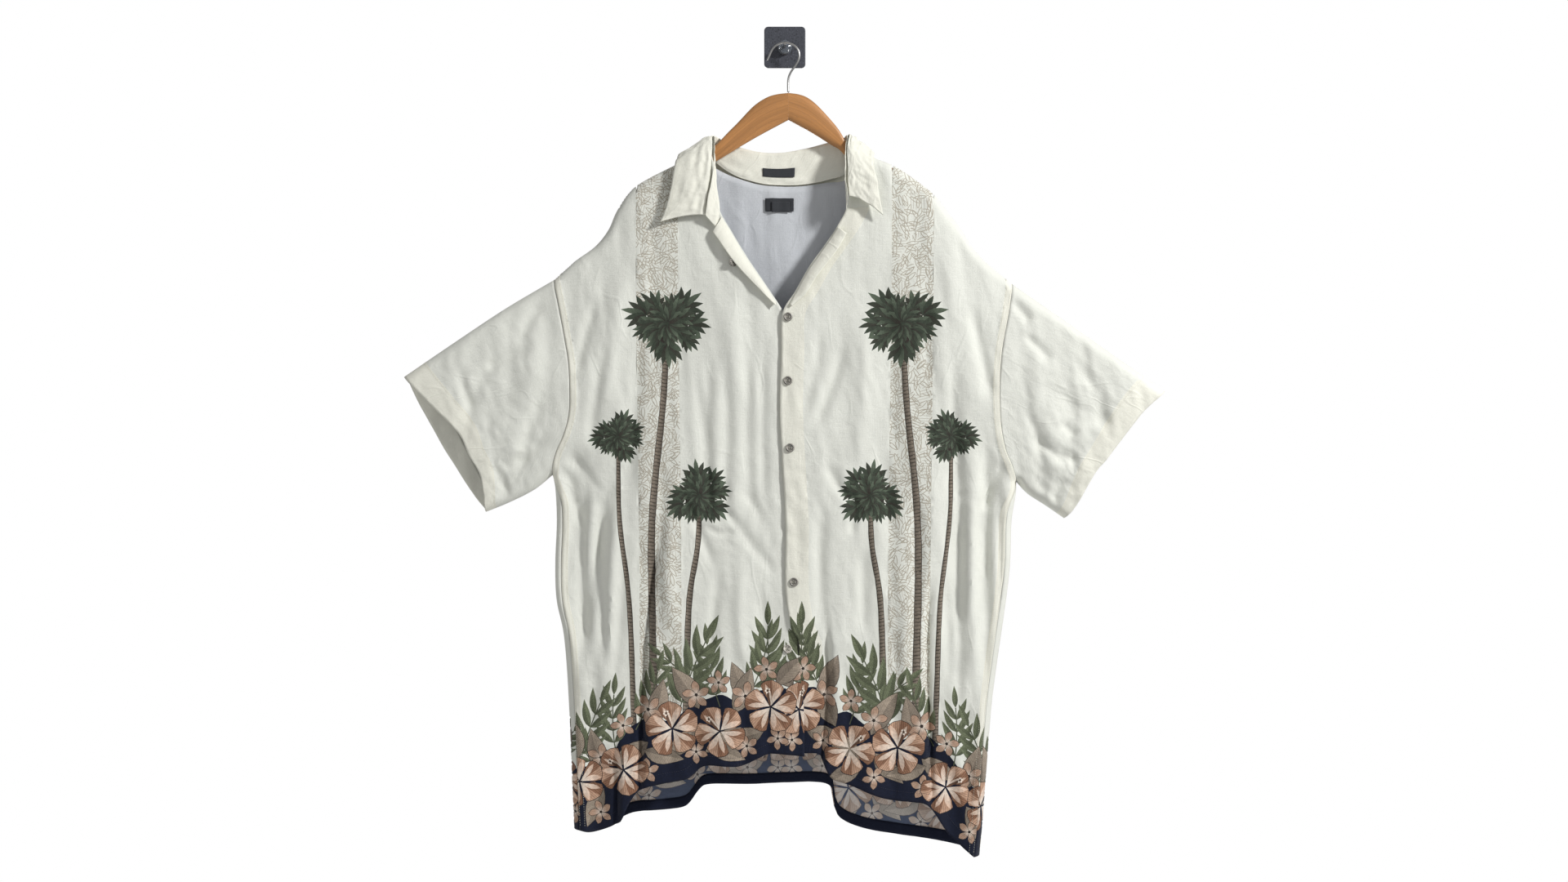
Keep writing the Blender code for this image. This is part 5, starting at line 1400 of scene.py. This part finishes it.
def dress_wood(net):
    wood = shirt()[1].wood
    grain = net.node("Attribute", attribute_name="grain", attribute_type="GEOMETRY")["Vector"]
    streak, rings = net.streaks(grain, 620.0, 12.0, 4.0), net.streaks(grain, 130.0, 4.0)
    fleck = net.step(net.streaks(grain, 2600.0, 260.0, 1.0), 0.62, 0.72, 0.0, 0.45)
    base = net.mix(net.step(rings, 0.35, 0.65), scaled(wood, 0.82), tuple(wood))
    base = net.mix(net.step(streak, 0.4, 0.68, 0.0, 0.5), base, scaled(wood, 0.62))
    net.finish(net.mix(fleck, base, scaled(wood, 0.4)), net.step(streak, 0.3, 0.7, 0.36, 0.5),
               net.add(streak, fleck), 0.00012)


def dress_steel(net):
    fine = net.streaks(net.place(), 3000.0, 300.0)
    net.finish(net.tinted((*shirt()[1].steel, 1), net.step(fine, 0.3, 0.7, 0.93, 1.0)),
               net.step(fine, 0.3, 0.7, 0.28, 0.36))


def dress_pad(net):
    place, pad = net.place(), shirt()[1].pad
    flecks, cloud = net.noise(place, 620.0), net.noise(place, 380.0)
    base = net.mix(net.step(flecks, 0.6, 0.68), tuple(pad), scaled(pad, 2.2))
    net.finish(net.tinted(base, net.step(cloud, 0.34, 0.42, 0.35, 1.0)), height=flecks, distance=0.0001)


def dress_boss(net):
    haze = net.noise(net.place(), 300.0)
    net.finish(net.tinted((0.16, 0.18, 0.21, 1), net.step(haze, 0.3, 0.7, 0.85, 1.0)),
               net.step(haze, 0.3, 0.7, 0.05, 0.16))


def dress_floor(net):
    net.finish(net.tinted((0.86, 0.86, 0.86, 1), net.step(net.noise(net.place(), 3.0), 0.3, 0.7, 0.98, 1.0)))


def steel_material():
    return material("Brushed steel", dress_steel, 0.3, Metallic=1.0)


def inks():
    """The print's inks by motif."""
    c = shirt()[1]
    ink_line = tuple(c.outline)
    plain = lambda colour, low=0.62, high=1.5: {"line": ink_line, "dark": scaled(colour, low), "base": tuple(colour),
                                                "light": scaled(colour, high)}
    flower = {"line": ink_line, "petal": tuple(c.petal), "shade": tuple(c.petal_shade), "throat": tuple(c.throat),
              "deep": scaled(c.petal_shade, 0.6), "light": scaled(c.petal, 1.25), "small": tuple(c.small_petal)}
    return {"ground": plain(c.navy), "palm": plain(c.palm, 0.6, 2.3), "olive": plain(c.olive, 0.6, 1.3),
            "taupe": plain(c.taupe, 0.7, 1.45), "trunk": plain(c.bark, 0.6, 1.5), "bloom": flower}


# Each cloth piece: its slot, its cut's width and length in metres, its area, how it is held and by what
CUTS = {
    "front_right": ("printed_cloth", 0.36, 0.90, 0.287, "hung", ["hanger_arm_right"]),
    "front_left": ("printed_cloth", 0.36, 0.93, 0.270, "hung", ["hanger_arm_left"]),
    "back": ("printed_cloth", 0.68, 0.98, 0.60, "hung", ["hanger_arm_right", "hanger_arm_left"]),
    "back_hem": ("facing_cloth", 0.63, 0.017, 0.0097, "hung", ["back"]),
    "sleeve_right": ("printed_cloth", 0.56, 0.24, 0.101, "hung", ["front_right"]),
    "sleeve_left": ("printed_cloth", 0.56, 0.24, 0.095, "hung", ["front_left"]),
    "cuff_right": ("facing_cloth", 0.50, 0.03, 0.0135, "folded", ["sleeve_right"]),
    "cuff_left": ("facing_cloth", 0.50, 0.03, 0.0135, "folded", ["sleeve_left"]),
    "collar_stand": ("facing_cloth", 0.47, 0.06, 0.0138, "folded", ["back"]),
    "collar_fall": ("facing_cloth", 0.58, 0.09, 0.032, "folded", ["collar_stand"]),
    "lapel_right": ("facing_cloth", 0.16, 0.03, 0.0027, "folded", ["front_right"]),
    "lapel_left": ("facing_cloth", 0.15, 0.03, 0.0024, "folded", ["front_left"]),
    "placket_left": ("facing_cloth", 0.034, 0.64, 0.0188, "folded", ["front_left"]),
    "label_neck": ("label_cloth", 0.042, 0.020, 0.00082, "laid", ["back"]),
    "label_size": ("label_cloth", 0.027, 0.016, 0.00042, "laid", ["label_neck"]),
    "label_stand": ("label_cloth", 0.046, 0.0135, 0.0006, "laid", ["collar_stand"]),
}


def declare(node, piece):
    """Seats a cloth piece in place of its solid."""
    slot, width, length, area, held, rests_on = CUTS[node]
    seat(piece, slot, node)


def panel_materials():
    """The printed cloth's right side and wrong side."""
    c = shirt()[1]
    strip = tuple(c.strip)
    return [cloth_material("Printed cloth", c.cloth, 0.5, (tuple(c.doubled), strip)),
            cloth_material("Printed cloth inside", c.lining, 0.35, (tuple(c.lining), strip), 0.95, 0.42)]


def strip_lift():
    """How far a turned-in strip lies behind its panel's surface, in millimetres."""
    sizes = shirt()[0]
    return -(sizes.cloth + sizes.facing_gap) / MM


# Pieces ---------------------------------------------------------------------------------------
class SHIRT_OT_fronts(bpy.types.Operator):
    """Make the two printed fronts."""
    bl_idname = "shirt.fronts"
    bl_label = "Fronts"

    def execute(self, context):
        across = np.linspace(0, 1, round(FRONT_WIDTH / CELL) + 1)
        ridge = np.array(EDGE_STEPS[1:6]) / BODY_DROP
        down = np.concatenate([[-ARM_SHARE * (SEAM_ROW - SEAM_OFF)], -ridge[::-1], [0], ridge,
                               np.arange(EDGE_STEPS[6], BODY_DROP, CELL) / BODY_DROP, [1]])
        for side in SIDES:
            front = printed_panel("cloth_front_" + side, front_pattern(side, across, down),
                                  lambda plane: front_surface(side, plane), front_shapes(side, inks()), False,
                                  context.scene.shirt_sizes.cloth, panel_materials())
            declare("front_" + side, front)
        return {"FINISHED"}


class SHIRT_OT_back(bpy.types.Operator):
    """Make the printed back and the strip turned up inside its hem."""
    bl_idname = "shirt.back"
    bl_label = "Back"

    def execute(self, context):
        down = np.concatenate([[ARM_SHARE * (SEAM_ROW + SEAM_OFF)],
                               np.arange(EDGE_STEPS[-1], BODY_DROP, BACK_CELL) / BODY_DROP, [1]])
        grid = back_pattern(np.linspace(0, 1, round(BACK_WIDTH / BACK_CELL)), down)
        declare("back", printed_panel("cloth_back", grid, back_surface, back_shapes(inks()), True,
                                      context.scene.shirt_sizes.cloth, panel_materials()))
        grid = back_pattern(np.linspace(0, 1, 130), np.linspace(1 - HEM_TURN / BODY_DROP, 1, 5))
        ends = len(WRAP_STEPS) + 4
        cloth = cloth_material("Hem turn", tuple(1.1 * part for part in context.scene.shirt_colours.navy))
        declare("back_hem", cloth_grid("cloth_back_hem", back_surface(grid[:, ends:-ends]), 1, STRIP_THICK * MM,
                                       [cloth], lift=strip_lift()))
        return {"FINISHED"}


class SHIRT_OT_sleeves(bpy.types.Operator):
    """Make the sleeves and the strips turned in at their cuffs."""
    bl_idname = "shirt.sleeves"
    bl_label = "Sleeves"

    def execute(self, context):
        c, sizes = context.scene.shirt_colours, context.scene.shirt_sizes
        cloth = [cloth_material("Sleeve cloth", c.cloth, band=(CUFF_TURN * MM, tuple(c.doubled))),
                 cloth_material("Sleeve cloth inside", c.lining)]
        steps = np.array(EDGE_STEPS) / SLEEVE_WIDTH
        up = np.concatenate([steps[:-1], np.linspace(steps[-1], 1 - steps[-1], round(250 / SLEEVE_CELL)),
                             1 - steps[-2::-1]])
        along = np.linspace(0.0008, 1, round(SLEEVE_LENGTH / SLEEVE_CELL))
        turn = np.linspace(1 - CUFF_TURN / SLEEVE_LENGTH, 1, 9)
        for side in SIDES:
            declare("sleeve_" + side, cloth_grid("cloth_sleeve_" + side, sleeve_points(side, along, up), INWARD[side],
                                                 sizes.cloth, cloth, ring=True))
            declare("cuff_" + side, cloth_grid("cloth_cuff_" + side, sleeve_points(side, turn, up), INWARD[side],
                                               STRIP_THICK * MM, doubled_cloth(), lift=strip_lift(), ring=True))
        return {"FINISHED"}


def rumpled(points, outside, height, seed):
    """Small dents along a surface's normals, none at its first row."""
    rows, columns = points.shape[:2]
    v, u = np.meshgrid(np.arange(rows), np.arange(columns), indexing="ij")
    run = np.linalg.norm(points[:, 1:] - points[:, :-1], axis=2).mean()
    dents = value_noise(u * run, v * run * 1.3, 16, 11, seed) + 0.5 * value_noise(u * run, v * run, 6, 7, seed + 1)
    fade = ease(v / (rows - 1), 0, 0.25)
    return points + grid_normals(points, False) * outside * (height / MM * dents * fade)[..., None]


class SHIRT_OT_collar(bpy.types.Operator):
    """Make the collar's stand and its turned-down fall."""
    bl_idname = "shirt.collar"
    bl_label = "Collar"

    def execute(self, context):
        sizes = context.scene.shirt_sizes
        station, up = np.linspace(0, len(NECK) - 1, 240), np.linspace(0, 1, 20) ** 1.6
        stand = rumpled(stand_points(station, up), 1, sizes.rumple, 5)
        lift = GAP + (CLOTH - GAP) * ease(up, 0, 0.2)[:, None, None]
        declare("collar_stand", cloth_grid("cloth_collar_stand", stand, 1, sizes.cloth, doubled_cloth(), lift=lift))
        fall = rumpled(fall_points(station, np.linspace(0, 1, 30) ** 1.2), 1, sizes.rumple * 1.6, 8)
        declare("collar_fall", cloth_grid("cloth_collar_fall", fall, 1, CLOTH * MM, doubled_cloth()))
        return {"FINISHED"}


class SHIRT_OT_facings(bpy.types.Operator):
    """Make the lapels and the facing behind the buttonhole edge."""
    bl_idname = "shirt.facings"
    bl_label = "Facings"

    def execute(self, context):
        sizes = context.scene.shirt_sizes
        for side in SIDES:
            points = lapel_points(side, np.linspace(0, len(LAPEL[side]) - 1, 60), np.linspace(0, 1, 12))
            points = rumpled(points.transpose(1, 0, 2), INWARD[side], sizes.rumple * 0.7, 21).transpose(1, 0, 2)
            declare("lapel_" + side, cloth_grid("cloth_lapel_" + side, points, -INWARD[side], LABEL * MM,
                                                doubled_cloth()))
        points = front_surface(LEFT, front_pattern(LEFT, np.linspace(0, PLACKET / FRONT_WIDTH, 10),
                                                   np.linspace(0.285, 1, 180)))
        declare("placket_left", cloth_grid("cloth_placket_left", points, INWARD[LEFT], STRIP_THICK * MM,
                                           doubled_cloth(), lift=strip_lift()))
        return {"FINISHED"}


class SHIRT_OT_labels(bpy.types.Operator):
    """Make the three bare labels inside the neck."""
    bl_idname = "shirt.labels"
    bl_label = "Labels"

    def execute(self, context):
        cloth = [cloth_material("Label cloth", context.scene.shirt_colours.label, 0.2)]
        for node, left, right, top, foot, lift in (("label_neck", -28, 13, -221, -240, CLOTH + GAP + LABEL),
                                                   ("label_size", -19, 7, -226, -241, CLOTH + 2 * (GAP + LABEL))):
            x, z = np.meshgrid(np.linspace(left, right, 24), np.linspace(top, foot, 12))
            points = np.stack([x, depth(x, z, BACK) - 0.5 * np.cos((x - left) / (right - left) * 2 * math.pi), z], -1)
            declare(node, cloth_grid("cloth_" + node, points, -1, LABEL * MM, cloth, lift=lift))
        points = stand_points(np.linspace(*LABEL_STATIONS, 24), np.linspace(*LABEL_UP, 10))
        declare("label_stand", cloth_grid("cloth_label_stand", points, 1, LABEL * MM, cloth,
                                          lift=CLOTH + GAP + LABEL + 0.2))
        return {"FINISHED"}


def button_mesh(name):
    """A four-hole button, its face up Z: a rounded rim, a dish and holes right through."""
    holes = [np.array((a, b)) * HOLE_OFFSET + HOLE_RADIUS * circle_of(10) for a in (-1, 1) for b in (-1, 1)]
    loops = [BUTTON_RADIUS * circle_of(48), *holes]
    extra = [BUTTON_RADIUS * share * circle_of(40) for share in (0.95, 0.86, 0.76, 0.68, 0.6, 0.45)]
    starts = np.cumsum([0, *[len(loop) for loop in loops]])
    rims = [list(range(a, b)) for a, b in zip(starts, starts[1:])]
    flat, cells = triangles(np.vstack([*loops, *extra]), [], rims, 1e-5)
    radius = np.linalg.norm(flat, axis=1) / BUTTON_RADIUS
    top = BUTTON_THICK - DISH * (1 - ease(radius, 0.62, 0.76)) - 0.8 * ease(radius, 0.88, 1.0) ** 2
    edit = bmesh.new()
    upper, lower = ([edit.verts.new((x * MM, y * MM, z * MM)) for (x, y), z in zip(flat, heights)]
                    for heights in (top, 0.35 * ease(radius, 0.86, 1)))
    for a, b, c in cells:
        edit.faces.new([upper[a], upper[b], upper[c]])
        edit.faces.new([lower[c], lower[b], lower[a]])
    match = dict(zip(upper, lower))
    for edge in [edge for edge in edit.edges if edge.is_boundary and edge.verts[0] in match]:
        a, b = edge.verts
        edit.faces.new([a, b, match[b], match[a]])
    bmesh.ops.delete(edit, geom=[vertex for vertex in edit.verts if not vertex.link_faces], context="VERTS")
    bmesh.ops.recalc_face_normals(edit, faces=edit.faces)
    return written(edit, bpy.data.meshes.new(name))


class SHIRT_OT_buttons(bpy.types.Operator):
    """Make the buttons and the thread that holds them."""
    bl_idname = "shirt.buttons"
    bl_label = "Buttons"

    def execute(self, context):
        c = context.scene.shirt_colours
        dark = button_material("Button shell", c.button)
        pale = button_material("Pale button shell", tuple(1.9 * part for part in c.button))
        for name, place in BUTTONS.items():
            piece = add_piece("shell_" + name, button_mesh(name), [pale if name == "button_6" else dark], 35)
            parts = [piece]
            for side in (-1, 1):
                route = [(side * HOLE_OFFSET, t * HOLE_OFFSET, BUTTON_THICK - DISH + 0.35 * (1 - t * t))
                         for t in np.linspace(-1, 1, 7)]
                parts.append(tube("strand", np.array(route), 0.42, 8, [thread_material()]))
            with context.temp_override(active_object=piece, selected_editable_objects=parts):
                bpy.ops.object.join()
            if place is None:
                piece.location, piece.rotation_euler = [part * MM for part in COLLAR_BUTTON], COLLAR_BUTTON_TURN
            else:
                x = place[0] + BUTTON_RADIUS * np.array([-1, 1, 0, 0, 0])
                z = place[1] + BUTTON_RADIUS * np.array([0, 0, -1, 1, 0])
                y = front_y(x, z, place[2])
                tilt_z = math.atan2(y[1] - y[0], x[1] - x[0])
                tilt_x = math.atan2(y[3] - y[2], z[3] - z[2])
                fit = y[4] + (x - x[4]) * math.tan(tilt_z) + (z - z[4]) * math.tan(tilt_x)
                piece.location = (place[0] * MM, (y[4] - 0.1 - max(fit - y)) * MM, place[1] * MM)
                piece.rotation_euler = (math.pi / 2 - tilt_x, 0, tilt_z)
            seat(piece, "button_shell", name)
        return {"FINISHED"}


def stitch_rows(name, routes, colour="thread"):
    """Stitches along routes on the cloth, each route with its outward directions."""
    sizes = shirt()[0]
    points, faces = [], []
    half, radius = sizes.stitch_length / MM / 2, sizes.thread / MM
    for route, outward in routes:
        run = run_of(route)
        at = np.arange(sizes.stitch / MM / 2, run[-1], sizes.stitch / MM)
        middle, out = sampled(route, run, at), unit(sampled(outward, run, at))
        way = sampled(route, run, at + half) - sampled(route, run, at - half)
        length = np.linalg.norm(way, axis=1)[:, None]
        way = np.where(length > 1e-6, way / np.maximum(length, 1e-6), (0, 0, 1))
        side = np.cross(way, out)
        for m, w, o, s in zip(middle + out * STITCH_LIFT, way, out, side):
            base = len(points)
            points += [m - w * half, m + w * half, m + s * radius, m - s * radius, m + o * radius, m - o * radius]
            for end, ring in enumerate(((5, 3, 4, 2), (2, 4, 3, 5))):
                faces += [[base + end, base + ring[k], base + ring[(k + 1) % 4]] for k in range(4)]
    mesh = mesh_of(name, np.array(points), faces)
    edit = editing(mesh)
    bmesh.ops.recalc_face_normals(edit, faces=edit.faces)
    return add_piece(name, written(edit, mesh), [thread_material(colour)], 80)


def normals_along(surface, flat, step=0.6):
    """Outward directions of a front-facing surface over flat places."""
    along = surface(flat + (0, step)) - surface(flat - (0, step))
    across = surface(flat + (step, 0)) - surface(flat - (step, 0))
    return unit(np.cross(across, along))


class SHIRT_OT_stitching(bpy.types.Operator):
    """Sew the seams, cuffs and collar with visible stitches."""
    bl_idname = "shirt.stitching"
    bl_label = "Stitching"

    def execute(self, context):
        for side in SIDES:
            surface = lambda plane: front_surface(side, plane)
            route = lambda flat: (surface(flat), normals_along(surface, flat))
            z = np.linspace(SHOULDER[side][-1][1] - 8, SIDE[side][-1][1] + 6, 420)
            seams = [route(np.stack([outer_edge(side, z) + INWARD[side] * off, z], -1))
                     for off in (1.4, SEAM_BAND - 1.6)]
            seat(stitch_rows("stitching_front_" + side, seams), "printed_cloth")
            edge = HEM[side, FRONT]
            x = np.linspace(edge[0][0], edge[-1][0], 160)[3:-3]
            hem = route(np.stack([x, height_at_x(edge, x) + HEM_ROW], -1))
            seat(stitch_rows("stitching_hem_" + side, [hem], "hem_thread"), "printed_cloth")
            near = 1 - CUFF_TURN / SLEEVE_LENGTH
            points = sleeve_points(side, np.array([near - 0.004, near, near + 0.004]), np.linspace(0, 1, 120))
            normal = grid_normals(points, True)[1] * INWARD[side]
            cuff = tuple(np.vstack([values, values[:1]]) for values in (points[1], normal))
            seat(stitch_rows("stitching_cuff_" + side, [cuff]), "printed_cloth")
        share = 1 - context.scene.shirt_sizes.edge_inset / MM / 60
        fall = fall_points(np.linspace(0.15, len(NECK) - 1.15, 300), [share - 0.01, share, share + 0.01])
        normal = grid_normals(fall, False)[1]
        seat(stitch_rows("stitching_collar", [(fall[1] + normal * 0.15, normal)]), "facing_cloth")
        return {"FINISHED"}


def arm_ring(arm, sides=28):
    """An arm's section: straight cheeks, a rounded top and a rounded underside."""
    middle, half = (arm[1] + arm[2]) / 2, (arm[1] - arm[2]) / 2
    ring = []
    for k in range(sides):
        angle = 2 * math.pi * (k + 0.5) / sides
        y, z = math.sin(angle), math.cos(angle)
        y *= 1 - 0.4 * float(ease(-z, 0.25, 1))
        ring.append((arm[0], HANGER_Y + arm[3] * math.copysign(abs(y) ** 0.7, y),
                     middle + half * math.copysign(abs(z) ** 0.6, z)))
    return ring


class SHIRT_OT_hanger(bpy.types.Operator):
    """Make the two wooden arms and the wire hook."""
    bl_idname = "shirt.hanger"
    bl_label = "Hanger"

    def execute(self, context):
        wood = material("Beech", dress_wood, 0.42, Coat_Weight=0.25, Coat_Roughness=0.25)
        for side in SIDES:
            arms = at_station(HANGER[side], np.linspace(0, len(HANGER[side]) - 1, 56))
            arms[0, 0] += 0.18 * INWARD[side]
            arm = loft("wood_arm_" + side, [arm_ring(row) for row in arms], [wood], 50)
            spine = np.stack([arms[:, 0], (arms[:, 1] + arms[:, 2]) / 2], -1)
            run, order = run_of(spine), np.argsort(spine[:, 0])
            place = np.array([vertex.co for vertex in arm.data.vertices]) / MM
            level, along = (np.interp(place[:, 0], spine[order, 0], values[order]) for values in (spine[:, 1], run))
            add_attribute(arm.data, "grain", "POINT",
                          np.stack([along, place[:, 1] + 40 * INWARD[side], place[:, 2] - level], -1) * MM)
            seat(arm, "hanger_wood", "hanger_arm_" + side)
        route = at_share(WIRE, np.linspace(0, 1, 110))
        for _ in range(60):
            route[1:-1] = 0.5 * route[1:-1] + 0.25 * (route[:-2] + route[2:])
        route = np.insert(route, 1, HANGER_Y, axis=1)
        seat(tube("wire_hook", route, WIRE_RADIUS, 16, [steel_material()]), "steel_wire", "hanger_hook")
        return {"FINISHED"}


def disc_rings(steps, sides):
    return [[(radius * math.cos(2 * math.pi * k / sides), y, radius * math.sin(2 * math.pi * k / sides) + PEG_Z)
             for k in range(sides)] for radius, y in steps]


def rounded_square(half, corner):
    return [(sx * (half - corner) + corner * math.cos(math.pi / 2 * (turn + step / 8)),
             sz * (half - corner) + corner * math.sin(math.pi / 2 * (turn + step / 8)))
            for turn, (sx, sz) in enumerate([(1, 1), (-1, 1), (-1, -1), (1, -1)]) for step in range(9)]


class SHIRT_OT_wall_hook(bpy.types.Operator):
    """Make the wall pad, its clear boss and the peg."""
    bl_idname = "shirt.wall_hook"
    bl_label = "Wall hook"

    def execute(self, context):
        steps = [(0, 0), (0, -PAD_THICK + 0.8), (0.25, -PAD_THICK + 0.25), (0.8, -PAD_THICK), (2.2, -PAD_THICK)]
        rings = [[(x, y, z) for x, z in rounded_square(PAD_SIZE / 2 - inset, PAD_CORNER - inset)]
                 for inset, y in steps]
        pad = material("Wall pad", dress_pad, 0.5, Coat_Weight=0.15, Coat_Roughness=0.3)
        seat(loft("plate_wall_pad", rings, [pad], 35), "wall_pad", "wall_pad")
        face, front = -PAD_THICK - GAP, -PAD_THICK - GAP - BOSS_DEPTH
        r = BOSS_RADIUS
        steps = [(r, face), (r, face - 1.2), (r - 0.5, face - 1.7), (r - 0.6, front + 3.6), (r - 0.2, front + 3.0),
                 (r - 0.2, front + 1.5), (r - 0.8, front + 0.6), (r - 1.8, front + 0.1), (r - 2.6, front + 0.5),
                 (r - 3.4, front + 0.9), (r - 4.2, front + 0.5), (r - 5.2, front), (r - 6.6, front)]
        clear = material("Clear boss", dress_boss, 0.1, Transmission_Weight=0.3, Coat_Weight=1.0, Coat_Roughness=0.03)
        seat(loft("moulding_wall_boss", disc_rings(steps, 64), [clear], 30), "clear_boss", "wall_boss")
        steps = [(PEG_RADIUS, front - GAP), (PEG_RADIUS, PEG_END + 1.2), (PEG_RADIUS - 0.15, PEG_END + 0.6),
                 (PEG_RADIUS - 0.6, PEG_END + 0.12), (PEG_RADIUS - 1.2, PEG_END)]
        seat(loft("bar_wall_peg", disc_rings(steps, 28), [steel_material()], 35), "steel_wire", "wall_peg")
        return {"FINISHED"}


class SHIRT_OT_stage(bpy.types.Operator):
    """Set up the floor, the lights and the camera."""
    bl_idname = "shirt.stage"
    bl_label = "Stage"

    def execute(self, context):
        scene = context.scene
        edge = FLOOR_SIZE / 2
        mesh = bpy.data.meshes.new("floor")
        mesh.from_pydata([(x * edge, y * edge, FLOOR_LEVEL) for x, y in ((-1, -1), (1, -1), (1, 1), (-1, 1))],
                         [], [[0, 1, 2, 3]])
        add_piece("floor", mesh, [material("Floor", dress_floor, 0.8)])
        scene.world = scene.world or bpy.data.worlds.new("World")
        scene.world.use_nodes = True
        net = Net(scene.world.node_tree)
        sky = net.tree.nodes["Background"].inputs
        sky[0].default_value = (1, 1, 1, 1)
        seen = net.node("LightPath")["Is Camera Ray"]
        net.link(net.multiply_add(seen, SKY_SEEN - SKY_LIGHT, SKY_LIGHT), sky[1])
        scene.view_settings.view_transform = "Standard"
        for name, (place, aim, size, power) in LIGHTS.items():
            light = bpy.data.lights.new(name, "AREA")
            light.shape, light.size, light.energy = "DISK", size, power
            lamp = add_object(name, light)
            lamp.location = place
            lamp.rotation_euler = (Vector(aim) - Vector(place)).to_track_quat("-Z", "Y").to_euler()
        camera = bpy.data.cameras.new("Camera")
        camera.lens, camera.sensor_width = CAMERA_LENS, 36
        scene.camera = add_object("Camera", camera)
        scene.camera.location, scene.camera.rotation_euler = CAMERA_PLACE, (math.pi / 2, 0, 0)
        return {"FINISHED"}


PIECES = (SHIRT_OT_stage, SHIRT_OT_fronts, SHIRT_OT_back, SHIRT_OT_sleeves, SHIRT_OT_collar, SHIRT_OT_facings,
          SHIRT_OT_labels, SHIRT_OT_buttons, SHIRT_OT_stitching, SHIRT_OT_hanger, SHIRT_OT_wall_hook)


class SHIRT_PT_pieces(bpy.types.Panel):
    """The shirt's sizes, colours and pieces."""
    bl_idname = "SHIRT_PT_pieces"
    bl_label = "Hanging Shirt"
    bl_space_type = "VIEW_3D"
    bl_region_type = "UI"
    bl_category = "Shirt"

    def draw(self, context):
        for group in (context.scene.shirt_sizes, context.scene.shirt_colours):
            box = self.layout.box()
            for name in group.__annotations__:
                box.prop(group, name)
        for piece in PIECES:
            self.layout.operator(piece.bl_idname)


CLASSES = (ShirtSizes, ShirtColours, *PIECES, SHIRT_PT_pieces)


def register():
    for kind in CLASSES:
        bpy.utils.register_class(kind)
    bpy.types.Scene.shirt_sizes = bpy.props.PointerProperty(type=ShirtSizes)
    bpy.types.Scene.shirt_colours = bpy.props.PointerProperty(type=ShirtColours)


def unregister():
    del bpy.types.Scene.shirt_colours
    del bpy.types.Scene.shirt_sizes
    for kind in reversed(CLASSES):
        bpy.utils.unregister_class(kind)


def main():
    register()
    make_groups()
    for piece in PIECES:
        family, name = piece.bl_idname.split(".")
        getattr(getattr(bpy.ops, family), name)()


if __name__ == "__main__":
    main()
